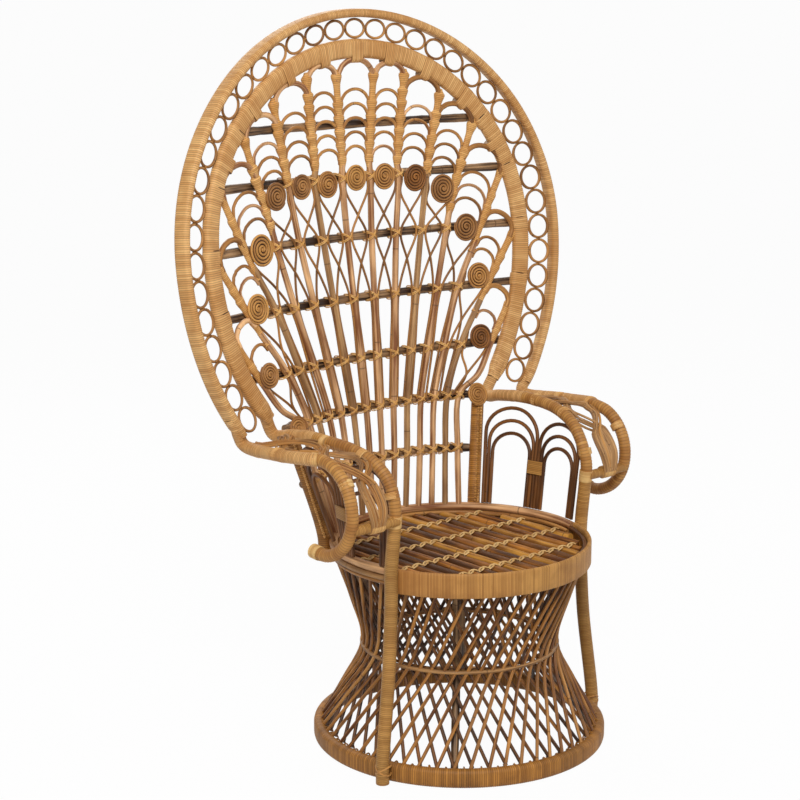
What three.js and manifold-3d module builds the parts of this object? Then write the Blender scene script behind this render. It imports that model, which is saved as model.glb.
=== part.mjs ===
// Peacock chair woven from rattan: an hourglass base of crossed canes, a round slatted seat,
// two scrolled arms and a tall oval back with a chain of rings and coiled rosettes.
// Millimetres, +Z up. The chair faces -Y and is mirrored about X = 0.

import * as THREE from "three";
import { mergeVertices } from "three/addons/utils/BufferGeometryUtils.js";
import Module from "manifold-3d";

const wasm = await Module();
wasm.setup();

// Fit between pieces that touch, and the bite of pieces that are bound into one
const clearance = 0.4;
const bite = 0.5;
const weldTolerance = 0.0001;

// Base ring, waist and seat
const baseRadius = 298;
const baseHeight = 38;
const baseThick = 22;
const waistRadius = 203;
const waistLevel = 200;
const waistCane = 8;
const seatRadius = 264.5;
const seatLevel = 420;
const apronHeight = 50;
const apronThick = 7;
const apronBead = 18;
const hoopCane = 16;
const rimPole = 18;

// Outline of the seat rim, in poles: a dark pole with a lighter cane bound below it
const rimOutlineShares = [[0.5, 0], [0.28, 0.5], [-0.28, 0.5], [-0.5, 0], [-0.35, -0.42],
  [-0.48, -0.75], [0, -1.05], [0.48, -0.75], [0.35, -0.42]];

// Crossed canes of the hourglass
const latticeCount = 52;
const latticeTurnShare = 0.058;
const latticeCane = 6;
const latticeRim = 8;
const latticeRimHeight = 7;
const innerLegPole = 16;
const innerLegCount = 4;

// Slatted deck
const slatCount = 17;
const slatPole = 14;
const slatRecess = 18;
const deckBarCount = 1;
const deckBarCane = 9;
const deckBarShare = 0.2;

// Front legs, which turn over into the inner rails of the arms
const legPole = 25;
const legTurnShare = 0.1986;
const railLevel = 646;
const railFlare = 23.5;
const armReach = 105;
const armKnee = 545;
const armWidth = 110.5;
const scrollLevel = 456;
const spokePole = 20;
const spokeLevel = 520;
const weaveWidth = 19;
const weaveThick = 6;
const weaveWaves = 1.5;
const kneeShares = [0.78, 0.45, 0.47, 0.76, 0.6, 1.2];
const scrollShare = 0.54;

// Side panels under the arms
const archCane = 7;
const archCount = 3;
const archStep = 25;
const panelEndShare = 1.2;
const frontBayShare = 0.93;

// Rear posts
const postPole = 22;
const postTurnShare = 0.137;
const postTop = 632;
const postSpread = 258;

// Back: a sheet that starts on the seat's arc, leans back and flattens as it rises
const leanDepth = 67;
const leanHeight = 800;
const topBendRadius = 1720;
const fadeHeight = 120;
const arcShare = 0.95;
const probe = 1;

// Oval of the back, measured to its outside
const ovalLevel = 990;
const ovalHalfWidth = 505;
const ovalRise = 468;
const ovalDrop = 555;
const rimWidth = 17;
const rimDepth = 34;
const rimEndShare = 0.357;
const ringGap = 43;
const ringCane = 6;
const ringSides = 8;
const ringCount = 39;
const ringEndShare = 0.354;
const ringPlay = 1.3;
const ringShift = 0.45;
const bandWidth = 39;
const bandDepth = 20;
const bandEndShare = 0.37;

// Stakes, ribs, arcs, thin canes and bars of the back
const stakeCount = 7;
const stakeCane = 12;
const ribCane = 15;
const stakeTurnShare = 0.01805;
const fanPitch = 28.5;
const fanRate = 0.0804;
const squeezeShare = 0.1;
const barPole = 18;
const barPlay = 1.2;
const barLevels = [532, 642, 747, 870, 996, 1118, 1225];
const arcCane = 6.5;
const thickArcCane = 8;
const firstArc = 62;
const arcPitch = 29;
const thickStep = 60;
const arcRiseShare = 0.8;
const arcCounts = [6, 6, 5, 4, 4, 3, 2];
const crossCane = 5;
const crossLayer = 3;
const crossPlay = 0.9;

// Foot and top of each rib, as shares of the oval's half width and of its rise or, below, its drop
const ribFootShares = [[0.071, 0.342], [0.218, 0.314], [0.370, 0.267], [0.487, 0.128],
  [0.600, -0.0447], [0.594, -0.2791], [0.535, -0.5582]];
const ribTopShares = [[0.099, 0.720], [0.251, 0.641], [0.434, 0.588], [0.620, 0.520],
  [0.760, 0.290], [0.800, -0.0084], [0.745, -0.2867]];

// Rosettes: one flat coil in each bay and one on each rear post
const rosetteRadius = 29;
const postRosetteRadius = 26;
const rosetteCane = 4.6;
const rosettePitch = 5.3;
const rosetteEye = 5;
const slantPlay = 1.6;
const rosetteSteps = 8;
const rosetteLevels = [1119, 1115, 1110, 1091, 995, 887, 757];
const postRosetteLevel = 637;
const postRosetteSpread = 247;

// Facet counts
const ringFacets = 36;
const squareShare = 0.9;
const hoopFacets = 28;
const apronFacets = 20;
const poleSides = 6;
const caneSides = 4;
const thinSides = 3;
const barSides = 5;
const arcSteps = 5;

const full = Math.PI * 2;
const flatShare = Math.cos(Math.PI / poleSides);
const thinShare = Math.sin(Math.PI / thinSides);

// Golden wrapped cane, plain cane, darker cane and poles with their bark on
const tones = {
  wrapped: { color: 0xc99a58, roughness: 0.55, metalness: 0 },
  cane: { color: 0xa9783f, roughness: 0.6, metalness: 0 },
  dark: { color: 0x6e4a2a, roughness: 0.7, metalness: 0 },
  bark: { color: 0x4a3524, roughness: 0.8, metalness: 0 },
};

// A path through fixed stations; facing gives the way the section's first axis looks at each,
// and swell the size of the section there as a share of its full size
class CanePath extends THREE.Curve {
  constructor(points, facing, swell = () => 1) {
    super();
    this.points = points;
    this.facing = facing;
    this.swell = swell;
  }

  getPoint(t, target = new THREE.Vector3()) {
    const last = this.points.length - 1;
    const place = t * last;
    const i = Math.min(Math.floor(place), last - 1);
    return target.lerpVectors(this.points[i], this.points[i + 1], place - i);
  }

  getSpacedPoints() {
    return this.points;
  }

  computeFrenetFrames() {
    const frames = { tangents: [], normals: [], binormals: [] };
    const last = this.points.length - 1;
    for (let i = 0; i <= last; i += 1) {
      const tangent = new THREE.Vector3();
      if (i > 0) tangent.add(this.points[i].clone().sub(this.points[i - 1]).normalize());
      if (i < last) tangent.add(this.points[i + 1].clone().sub(this.points[i]).normalize());
      tangent.normalize();
      const normal = this.facing(this.points[i]).clone();
      normal.addScaledVector(tangent, -normal.dot(tangent)).normalize();
      const scale = this.swell(i);
      frames.tangents.push(tangent);
      frames.binormals.push(tangent.clone().cross(normal).multiplyScalar(scale));
      frames.normals.push(normal.multiplyScalar(scale));
    }
    return frames;
  }
}

const forward = () => new THREE.Vector3(0, 1, 0);
const sideways = () => new THREE.Vector3(1, 0, 0);
const downward = () => new THREE.Vector3(0, 0, -1);
const outward = (p) => new THREE.Vector3(p.x, p.y, 0).normalize();

// Sections
function roundSection(depth, width, sides) {
  const shape = new THREE.Shape();
  for (let i = 0; i < sides; i += 1) {
    const turn = ((i + 0.5) / sides) * full;
    const x = (Math.cos(turn) * depth) / 2;
    const y = (Math.sin(turn) * width) / 2;
    if (i === 0) shape.moveTo(x, y);
    else shape.lineTo(x, y);
  }
  return shape;
}

function squareSection(size) {
  const half = size / 2;
  return new THREE.Shape([new THREE.Vector2(-half, -half), new THREE.Vector2(half, -half),
    new THREE.Vector2(half, half), new THREE.Vector2(-half, half)]);
}

function bandSection(depth, width) {
  const round = Math.min(depth, width) / 3;
  const x = depth / 2;
  const y = width / 2;
  if (width > depth) {
    return new THREE.Shape([new THREE.Vector2(-x, -y + round), new THREE.Vector2(0, -y),
      new THREE.Vector2(x, -y + round), new THREE.Vector2(x, y - round),
      new THREE.Vector2(0, y), new THREE.Vector2(-x, y - round)]);
  }
  return new THREE.Shape([new THREE.Vector2(-x + round, -y), new THREE.Vector2(x - round, -y),
    new THREE.Vector2(x, 0), new THREE.Vector2(x - round, y),
    new THREE.Vector2(-x + round, y), new THREE.Vector2(-x, 0)]);
}

// A flat bundle of three canes side by side
function bundleSection(depth, width) {
  const x = depth / 2;
  const third = width / 3;
  const dent = depth / 4;
  return new THREE.Shape([new THREE.Vector2(0, -width / 2), new THREE.Vector2(x, -third),
    new THREE.Vector2(dent, -third / 2), new THREE.Vector2(x, 0),
    new THREE.Vector2(dent, third / 2), new THREE.Vector2(x, third),
    new THREE.Vector2(0, width / 2), new THREE.Vector2(-x, 0)]);
}

function sweep(points, section, facing, swell) {
  const path = new CanePath(points, facing, swell);
  return new THREE.ExtrudeGeometry(section, { steps: points.length - 1, extrudePath: path });
}

function pole(points, size, facing, sides = poleSides, swell = undefined) {
  const section = sides === 4 ? squareSection(size * squareShare) : roundSection(size, size, sides);
  return sweep(points, section, facing, swell);
}

// A ring turned about the upright axis from a closed profile of radius and level pairs
function turned(profile, facets) {
  const points = profile.map(([radius, level]) => new THREE.Vector2(radius, level));
  points.push(points[0].clone());
  return new THREE.LatheGeometry(points, facets).rotateX(Math.PI / 2);
}

function hoopProfile(radius, level, size, sides) {
  const profile = [];
  for (let i = 0; i < sides; i += 1) {
    const turn = ((i + 0.5) / sides) * full;
    profile.push([radius + (Math.cos(turn) * size) / 2, level + (Math.sin(turn) * size) / 2]);
  }
  return profile;
}

// Solids for joining and cutting
function solidOf(geometry) {
  const plain = geometry.clone();
  plain.deleteAttribute("normal");
  plain.deleteAttribute("uv");
  const merged = mergeVertices(plain, weldTolerance);
  const vertProperties = Float32Array.from(merged.attributes.position.array);
  const triVerts = Uint32Array.from(merged.index.array);
  const body = new wasm.Manifold(new wasm.Mesh({ numProp: 3, vertProperties, triVerts }));
  if (body.volume() > 0) return body;
  const flipped = triVerts.slice();
  for (let i = 0; i < flipped.length; i += 3) {
    flipped[i] = triVerts[i + 1];
    flipped[i + 1] = triVerts[i];
  }
  return new wasm.Manifold(new wasm.Mesh({ numProp: 3, vertProperties, triVerts: flipped }));
}

function geometryOf(solid) {
  const mesh = solid.getMesh();
  const geometry = new THREE.BufferGeometry();
  geometry.setAttribute("position", new THREE.BufferAttribute(Float32Array.from(mesh.vertProperties), 3));
  geometry.setIndex(new THREE.BufferAttribute(Uint32Array.from(mesh.triVerts), 1));
  geometry.computeVertexNormals();
  return geometry;
}

function fused(geometries) {
  return geometryOf(geometries.map(solidOf).reduce((whole, next) => whole.add(next)));
}

const chair = new THREE.Group();

function place(name, geometry, tone) {
  const mesh = new THREE.Mesh(geometry, new THREE.MeshStandardMaterial(tone));
  mesh.name = name;
  chair.add(mesh);
  return mesh;
}

const onCircle = (radius, turnShare, level) => new THREE.Vector3(
  radius * Math.sin(turnShare * full), radius * Math.cos(turnShare * full), level);

function arcPoints(radius, level, from, to, steps) {
  const points = [];
  for (let i = 0; i <= steps; i += 1) {
    points.push(onCircle(radius, from + ((to - from) * i) / steps, level));
  }
  return points;
}

const smooth = (t) => {
  const s = Math.min(Math.max(t, 0), 1);
  return s * s * (3 - 2 * s);
};

// Levels and radii that several pieces share
const slatLevel = seatLevel - slatRecess - slatPole / 2;
const slatBottom = slatLevel - slatPole / 2;
const deckRadius = seatRadius - rimPole - clearance;
const sag = (radius, facets) => radius * (1 - Math.cos(Math.PI / facets));
const latticeTop = slatBottom - clearance;
const apronSag = sag(seatRadius, apronFacets / (2 * legTurnShare));
const outerLatticeRadius = seatRadius - apronThick - 2 * clearance - apronSag - latticeRim / 2;
const innerLatticeRadius = outerLatticeRadius - latticeRim - clearance;
const hoopInside = innerLatticeRadius + latticeRim / 2 - hoopCane;
const stakeRadius = seatRadius - rimPole / 2;
const outerWaist = waistRadius - waistCane - clearance - latticeCane / 2;
const innerWaist = outerWaist - latticeCane - clearance;
const outerFoot = baseRadius - baseThick / 2 - latticeCane;
const innerFoot = outerFoot - latticeCane - clearance;
const legTurn = 0.5 - legTurnShare;
const legRadius = seatRadius + clearance + (legPole / 2) * flatShare;
const legFootRadius = baseRadius + clearance + (legPole / 2) * flatShare;
const shoulder = legRadius * Math.sin(legTurn * full);
const railSpread = shoulder + railFlare;
const scrollSpread = shoulder + armWidth;
const overhang = Math.max(seatRadius - baseRadius, 0);

// Base
function baseRing() {
  const outer = baseRadius;
  const inner = baseRadius - baseThick;
  const round = baseThick / 4;
  const middle = (outer + inner) / 2;
  return turned([[inner + round, 0], [outer - round, 0], [outer, baseHeight / 2],
    [middle + round, baseHeight], [middle - round, baseHeight], [inner, baseHeight / 2]], ringFacets);
}

function latticeCanes(topRadius, midRadius, footRadius, hand) {
  const canes = [];
  const footLevel = baseHeight + latticeCane / 2;
  const top = latticeTop - latticeRimHeight / 2 - bite;
  for (let i = 0; i < latticeCount; i += 1) {
    const start = (i + 0.5) / latticeCount;
    const points = [onCircle(topRadius, start, top),
      onCircle(midRadius, start + hand * latticeTurnShare, waistLevel),
      onCircle(footRadius, start + 2 * hand * latticeTurnShare, footLevel)];
    canes.push(pole(points, latticeCane, outward, thinSides));
  }
  return canes;
}

function lattice() {
  const outerCanes = latticeCanes(outerLatticeRadius, outerWaist, outerFoot, 1);
  const ends = [latticeTop - latticeRimHeight, latticeTop];
  const rimProfile = (inside, outside) => [[inside, ends[0]], [outside, ends[0]],
    [outside, ends[1]], [inside, ends[1]]];
  const outerRim = turned(rimProfile(outerLatticeRadius - latticeRim / 2,
    outerLatticeRadius + latticeRim / 2), latticeCount / 2);
  place("lattice_outer", fused([outerRim, ...outerCanes]), tones.dark);
  const innerCanes = latticeCanes(innerLatticeRadius, innerWaist, innerFoot, -1);
  const innerRim = turned(rimProfile(hoopInside, innerLatticeRadius + latticeRim / 2), latticeCount / 2);
  place("lattice_inner", fused([innerRim, ...innerCanes]), tones.dark);
  const waist = turned(hoopProfile(waistRadius - waistCane / 2, waistLevel, waistCane, caneSides),
    ringFacets);
  place("waist_hoop", waist, tones.cane);
}

function innerLegs() {
  const bow = innerLatticeRadius * (1 - Math.cos(latticeTurnShare * Math.PI));
  const reach = latticeCane / 2 + innerLegPole / 2 + bow;
  const top = latticeTop - latticeRimHeight - 2 * clearance;
  const topRadius = innerLatticeRadius - reach;
  const footRadius = baseRadius - baseThick - innerLegPole / 2 - clearance;
  for (let i = 0; i < innerLegCount; i += 1) {
    const turn = (i + 0.5) / innerLegCount;
    const points = [onCircle(footRadius, turn, 0), onCircle(footRadius, turn, baseHeight / 2),
      onCircle(innerWaist - reach, turn, waistLevel), onCircle(topRadius, turn, top)];
    place(`inner_leg_${i + 1}`, pole(points, innerLegPole, outward), tones.bark);
  }
}

// Seat
function seatRim() {
  const gapShare = (3 * clearance) / (full * seatRadius);
  const from = -legTurn + gapShare;
  const steps = hoopFacets;
  const level = seatLevel - rimPole / 2;
  const outline = rimOutlineShares.map(([out, up]) => new THREE.Vector2(out * rimPole, up * rimPole));
  return sweep(arcPoints(stakeRadius, level, from, -from, steps), new THREE.Shape(outline), outward);
}

function seatApron() {
  const gapShare = (3 * clearance) / (full * seatRadius);
  const reach = legTurnShare - gapShare;
  const x = apronThick;
  const section = new THREE.Shape([new THREE.Vector2(0, -apronHeight), new THREE.Vector2(0, 0),
    new THREE.Vector2(-apronBead, 0), new THREE.Vector2(-apronBead, -slatRecess),
    new THREE.Vector2(-x, -slatRecess - x), new THREE.Vector2(-x, -apronHeight)]);
  const points = arcPoints(seatRadius, seatLevel, 0.5 - reach, 0.5 + reach, apronFacets);
  return sweep(points, section, outward);
}

function seatDeck() {
  const pieces = [];
  const pitch = (2 * deckRadius) / (slatCount + 1);
  for (let i = 0; i < slatCount; i += 1) {
    const x = (i - (slatCount - 1) / 2) * pitch;
    const edge = Math.abs(x) + slatPole / 2;
    const reach = Math.sqrt(deckRadius ** 2 - edge ** 2);
    pieces.push(pole([new THREE.Vector3(x, -reach, slatLevel), new THREE.Vector3(x, reach, slatLevel)],
      slatPole, sideways));
  }
  const inside = hoopInside - sag(hoopInside, latticeCount / 2) - clearance;
  const barLevel = slatBottom - deckBarCane / 2 + 3 * bite;
  for (let i = 0; i < deckBarCount; i += 1) {
    const y = (i - (deckBarCount - 1) / 2) * 2 * deckBarShare * deckRadius;
    const reach = Math.sqrt(inside ** 2 - (Math.abs(y) + deckBarCane) ** 2);
    pieces.push(pole([new THREE.Vector3(-reach, y, barLevel), new THREE.Vector3(reach, y, barLevel)],
      deckBarCane, forward, caneSides));
  }
  return fused(pieces);
}

// Back sheet
function backDepth(x, z) {
  const centre = stakeRadius + leanDepth * smooth((z - seatLevel) / leanHeight);
  const near = Math.min(Math.abs(x), stakeRadius * arcShare);
  const arcDip = stakeRadius - Math.sqrt(stakeRadius ** 2 - near ** 2);
  const flatDip = (x * x) / (2 * topBendRadius);
  const fade = Math.exp((seatLevel - z) / fadeHeight);
  return centre - flatDip - (arcDip - flatDip) * fade;
}

function backNormal(x, z) {
  const acrossSlope = (backDepth(x + probe, z) - backDepth(x - probe, z)) / (2 * probe);
  const upSlope = (backDepth(x, z + probe) - backDepth(x, z - probe)) / (2 * probe);
  return new THREE.Vector3(-acrossSlope, 1, -upSlope).normalize();
}

function onBack([x, z], layer = 0) {
  return new THREE.Vector3(x, backDepth(x, z), z).addScaledVector(backNormal(x, z), layer);
}

const sheetFacing = (p) => backNormal(p.x, p.z);

// Oval of the back
function ovalAt(turnShare, inset) {
  const turn = turnShare * full;
  const tall = Math.cos(turn) > 0 ? ovalRise : ovalDrop;
  return [(ovalHalfWidth - inset) * Math.sin(turn), ovalLevel + (tall - inset) * Math.cos(turn)];
}

function insideOval([x, z], inset) {
  const tall = z > ovalLevel ? ovalRise : ovalDrop;
  return (x / (ovalHalfWidth - inset)) ** 2 + ((z - ovalLevel) / (tall - inset)) ** 2 < 1;
}

// Places along the oval at even distances, as turn shares
function evenTurns(inset, end, count) {
  const samples = 720;
  const lengths = [0];
  for (let i = 1; i <= samples; i += 1) {
    const a = ovalAt(-end + (2 * end * (i - 1)) / samples, inset);
    const b = ovalAt(-end + (2 * end * i) / samples, inset);
    lengths.push(lengths[i - 1] + Math.hypot(b[0] - a[0], b[1] - a[1]));
  }
  const turns = [];
  for (let k = 0; k < count; k += 1) {
    const wanted = (lengths[samples] * k) / (count - 1);
    let i = lengths.findIndex((length) => length >= wanted);
    i = Math.max(i, 1);
    const part = (wanted - lengths[i - 1]) / (lengths[i] - lengths[i - 1]);
    turns.push(-end + (2 * end * (i - 1 + part)) / samples);
  }
  return { turns, pitch: lengths[samples] / (count - 1) };
}

function ovalSweep(inset, end, section, facets) {
  const { turns } = evenTurns(inset, end, facets + 1);
  return sweep(turns.map((turn) => onBack(ovalAt(turn, inset))), section, sheetFacing);
}

const bandInset = rimWidth + ringGap + bandWidth / 2;
const bandEdge = rimWidth + ringGap + bandWidth;

// Eight-sided rings stood edge to edge; neighbours share the face where they are bound together
function ringChain() {
  const inset = rimWidth + ringGap / 2 + ringShift;
  const { turns, pitch } = evenTurns(inset, ringEndShare, ringCount);
  const radial = ringGap / 2 - ringPlay;
  const tangential = pitch / 2;
  const corner = 1 / Math.cos(Math.PI / ringSides);
  const positions = [];
  const faces = [];
  const link = (count) => count * 4 * ringSides;
  turns.forEach((turn) => {
    const here = ovalAt(turn, inset);
    const ahead = onBack(ovalAt(turn + probe / ovalHalfWidth, inset));
    const behind = onBack(ovalAt(turn - probe / ovalHalfWidth, inset));
    const along = ahead.sub(behind).normalize();
    const normal = backNormal(here[0], here[1]);
    const across = along.clone().cross(normal).normalize();
    const centre = onBack(here);
    [[0, -1], [0, 1], [ringCane, -1], [ringCane, 1]].forEach(([inward, face]) => {
      for (let i = 0; i < ringSides; i += 1) {
        const around = ((i + 0.5) / ringSides) * full;
        positions.push(centre.clone()
          .addScaledVector(along, (tangential - inward) * corner * Math.cos(around))
          .addScaledVector(across, (radial - inward) * corner * Math.sin(around))
          .addScaledVector(normal, (face * ringCane) / 2));
      }
    });
  });
  const right = ringSides - 1;
  const left = ringSides / 2 - 1;
  const pairs = [[right, left + 1], [0, left]];
  for (let k = 0; k < ringCount - 1; k += 1) {
    [0, ringSides].forEach((face) => {
      pairs.forEach(([from, to]) => {
        const a = positions[link(k) + face + from];
        const b = positions[link(k + 1) + face + to];
        a.lerp(b, 0.5);
        b.copy(a);
      });
    });
  }
  const quad = (a, b, c, d) => faces.push(a, b, c, a, c, d);
  for (let k = 0; k < ringCount; k += 1) {
    const [outBack, outFront, inBack, inFront] = [0, 1, 2, 3].map((part) => link(k) + part * ringSides);
    for (let i = 0; i < ringSides; i += 1) {
      const j = (i + 1) % ringSides;
      const bound = (i === right && k < ringCount - 1) || (i === left && k > 0);
      if (!bound) quad(outBack + i, outBack + j, outFront + j, outFront + i);
      quad(inFront + i, inFront + j, inBack + j, inBack + i);
      quad(outFront + i, outFront + j, inFront + j, inFront + i);
      quad(outBack + j, outBack + i, inBack + i, inBack + j);
    }
  }
  const chain = new THREE.BufferGeometry().setFromPoints(positions);
  chain.setIndex(faces);
  return geometryOf(solidOf(chain));
}

// Columns of the back, numbered from the middle; each is a stake that becomes a wrapped rib
function stakePlace(index, level) {
  const step = index + 0.5;
  const last = stakeCount - 0.5;
  const easing = 1 - smooth((level - barLevels[1]) / (barLevels[4] - barLevels[1]));
  const squeeze = 1 - squeezeShare * (step / last) ** 2 * easing;
  return step * (fanPitch + fanRate * (level - barLevels[0])) * squeeze;
}

const shareToPlace = ([across, up]) => [across * ovalHalfWidth,
  ovalLevel + up * (up > 0 ? ovalRise : ovalDrop)];

function columnLine(index) {
  const seatTurn = stakeTurnShare * (index + 0.5);
  const seatX = stakeRadius * Math.sin(seatTurn * full);
  const foot = shareToPlace(ribFootShares[index]);
  const tilt = (backDepth(seatX, barLevels[0]) - backDepth(seatX, seatLevel)) / (barLevels[0] - seatLevel);
  const lowX = (seatX + stakePlace(index, barLevels[1])) / 2;
  const line = [[seatX, seatLevel + clearance + (stakeCane / 2) * tilt], [lowX, barLevels[0]]];
  barLevels.slice(1).forEach((level) => {
    if (level < foot[1] - stakeCane) line.push([stakePlace(index, level), level]);
  });
  line.push(foot);
  const top = shareToPlace(ribTopShares[index]);
  const room = bandEdge + 3 * clearance;
  const length = Math.hypot(top[0] - foot[0], top[1] - foot[1]);
  const way = [(top[0] - foot[0]) / length, (top[1] - foot[1]) / length];
  const corner = (reach, side) => [foot[0] + way[0] * reach + (side * way[1] * ribCane) / 2,
    foot[1] + way[1] * reach - (side * way[0] * ribCane) / 2];
  let reach = length;
  while (!insideOval(corner(reach, 1), room) || !insideOval(corner(reach, -1), room)) reach -= clearance;
  line.push([foot[0] + way[0] * reach, foot[1] + way[1] * reach]);
  return line;
}

const mirrored = (line, side) => line.map(([x, z]) => [x * side, z]);

// Where a column stands at a level
function columnAt(line, level) {
  for (let i = 1; i < line.length; i += 1) {
    if (level <= line[i][1] || i === line.length - 1) {
      const part = (level - line[i - 1][1]) / (line[i][1] - line[i - 1][1]);
      return line[i - 1][0] + (line[i][0] - line[i - 1][0]) * part;
    }
  }
  return line[0][0];
}

// A bay lies between two columns; its axis runs outward from its rosette
function bayFrame(left, right, level) {
  const centre = [(columnAt(left, level) + columnAt(right, level)) / 2, level];
  const above = level + firstArc + arcPitch;
  const ahead = [(columnAt(left, above) + columnAt(right, above)) / 2, above];
  const length = Math.hypot(ahead[0] - centre[0], ahead[1] - centre[1]);
  const axis = [(ahead[0] - centre[0]) / length, (ahead[1] - centre[1]) / length];
  return { centre, axis, across: [axis[1], -axis[0]] };
}

const bayPoint = (bay, p, q) => [bay.centre[0] + bay.axis[0] * p + bay.across[0] * q,
  bay.centre[1] + bay.axis[1] * p + bay.across[1] * q];

// Distance across the bay at which a column crosses the line p beyond the rosette
function columnAcross(bay, line, p) {
  const along = ([x, z]) => (x - bay.centre[0]) * bay.axis[0] + (z - bay.centre[1]) * bay.axis[1] - p;
  const across = ([x, z]) => (x - bay.centre[0]) * bay.across[0] + (z - bay.centre[1]) * bay.across[1];
  let low = line[line.length - 2];
  let high = line[line.length - 1];
  for (let i = 1; i < line.length; i += 1) {
    if (along(line[i - 1]) <= 0 && along(line[i]) >= 0) {
      low = line[i - 1];
      high = line[i];
    }
  }
  const part = along(low) / (along(low) - along(high));
  return across(low) + (across(high) - across(low)) * part;
}

function bandReach(bay) {
  let p = firstArc;
  while ([-1, 1].every((hand) => insideOval(bayPoint(bay, p, hand * thickArcCane), bandEdge))) p += bite;
  return p - thickArcCane / 2 - 2 * clearance;
}

// One scalloped arc, bound into its own column and stopping short of the other
function arcPlaces(bay, own, other, peak, size) {
  const foot = peak - arcRise(bay, own, other, peak);
  const ownSide = Math.sign(columnAcross(bay, own, foot));
  const ownFoot = Math.abs(columnAcross(bay, own, foot)) - ribCane / 2 + size / 4;
  const farFoot = Math.abs(columnAcross(bay, other, foot)) - ribCane / 2 - size / 2 - 2 * clearance;
  const middle = (ownFoot - farFoot) / 2;
  const half = (ownFoot + farFoot) / 2;
  const rise = peak - foot;
  const places = [];
  for (let i = 0; i <= arcSteps; i += 1) {
    const turn = (i / arcSteps) * Math.PI;
    places.push(bayPoint(bay, foot + rise * Math.sin(turn), (middle + half * Math.cos(turn)) * ownSide));
  }
  return places;
}

function bayArc(places, size) {
  return pole(places.map((place) => onBack(place)), size, sheetFacing, thinSides);
}

function arcRise(bay, own, other, peak) {
  const width = Math.abs(columnAcross(bay, own, peak)) + Math.abs(columnAcross(bay, other, peak));
  return (width / 2 - ribCane / 2) * arcRiseShare;
}

function bayArcs(bay, own, other, count) {
  const arcs = [];
  for (let i = 0; i < count - 1; i += 1) {
    arcs.push(bayArc(arcPlaces(bay, own, other, firstArc + i * arcPitch, arcCane), arcCane));
  }
  const last = firstArc + (count - 2) * arcPitch;
  let peak = Math.min(bandReach(bay), last + thickStep);
  const room = bandEdge + (thickArcCane / 2) * thinShare + 3 * clearance;
  const places = () => arcPlaces(bay, own, other, peak, thickArcCane);
  while (!places().every((place) => insideOval(place, room))) peak -= bite;
  arcs.push(bayArc(places(), thickArcCane));
  return arcs;
}

// A thin cane leaves its own stake beside the rosette, swings to the other stake and comes back
function crossingLine(bay, own, other, rosetteLevel, layer) {
  const ownSide = Math.sign(columnAt(own, rosetteLevel) - bay.centre[0]);
  const beside = stakeCane / 2 + crossCane / 2 - bite;
  const away = stakeCane / 2 + crossCane / 2 + crossPlay;
  const nextOwn = (level, gap, sheet) => onBack([columnAt(own, level) - ownSide * gap, level], sheet);
  const nextOther = (level, gap, sheet) => onBack([columnAt(other, level) + ownSide * gap, level], sheet);
  const below = barLevels.filter((level) => level < rosetteLevel - rosetteRadius - stakeCane);
  const low = barLevels[1];
  const points = [nextOwn(rosetteLevel + ribCane, stakeCane / 4, 0), nextOwn(rosetteLevel, beside, 0)];
  const target = below[below.length - 1];
  const middle = (rosetteLevel - rosetteRadius + target) / 2;
  const mid = (level) => onBack([(columnAt(own, level) + columnAt(other, level)) / 2, level], layer);
  points.push(nextOwn(rosetteLevel - rosetteRadius, away, layer), mid(middle));
  points.push(nextOther(target, away, layer));
  if (target > barLevels[3]) {
    const next = below[below.length - 2];
    points.push(mid((target + next) / 2), nextOwn(next, away, 0));
    below.filter((level) => level < next && level >= low).reverse()
      .forEach((level) => points.push(nextOwn(level, away, 0)));
  } else {
    below.filter((level) => level < target && level >= low).reverse()
      .forEach((level) => points.push(nextOther(level, away, layer)));
  }
  return points;
}

// The stake swells from its own thickness to the wrapped rib's above its foot
function columnPoints(line) {
  const footIndex = line.length - 2;
  const foot = line[footIndex];
  const top = line[footIndex + 1];
  const middle = [(foot[0] + top[0]) / 2, (foot[1] + top[1]) / 2];
  return [...line.slice(0, footIndex + 1), middle, top].map((spot) => onBack(spot));
}

function columnGeometry(points) {
  const footIndex = points.length - 3;
  return pole(points, ribCane, sheetFacing, poleSides, (i) => (i < footIndex ? stakeCane / ribCane : 1));
}

// Room for a coil beside canes given as points with their half thicknesses, and the way to the nearest
function roomAt(centre, canes) {
  let room = Infinity;
  let toward = new THREE.Vector3();
  canes.forEach(({ points, halves }) => {
    for (let i = 1; i < points.length; i += 1) {
      const segment = new THREE.Line3(points[i - 1], points[i]);
      const part = segment.closestPointToPointParameter(centre, true);
      const nearest = segment.at(part, new THREE.Vector3());
      const half = halves[i - 1] + (halves[i] - halves[i - 1]) * part;
      const gap = centre.distanceTo(nearest) - half - clearance;
      if (gap < room) {
        room = gap;
        toward = nearest.sub(centre).normalize();
      }
    }
  });
  return { room, toward };
}

const columnCane = (points) => ({
  points, halves: points.map((p, i) => (i < points.length - 3 ? stakeCane : ribCane) / 2),
});
const crossingThin = (points) => ({ points, halves: points.map(() => (crossCane / 2) * thinShare) });

// A coil where its bay is widest, leaning on its own column if there is room to spare
function bayRosette(name, bay, ownPoints, otherPoints, ownCross, otherCross) {
  const own = [columnCane(ownPoints), crossingThin(ownCross)];
  const other = [columnCane(otherPoints), crossingThin(otherCross)];
  let best = { size: 0 };
  for (let shift = -stakeCane; shift <= stakeCane; shift += bite) {
    const centre = onBack([bay.centre[0] + shift, bay.centre[1]]);
    const near = roomAt(centre, own);
    const snug = slantPlay * Math.abs(near.toward.z);
    const size = Math.min(near.room, roomAt(centre, other).room, rosetteRadius) + snug;
    if (size > best.size) best = { size, centre, near };
  }
  const { size, centre, near } = best;
  const lean = Math.max(near.room - size, 0);
  const spot = [centre.x + near.toward.x * lean, centre.z + near.toward.z * lean];
  return rosette(name, spot, 0, size, near.toward);
}

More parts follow.
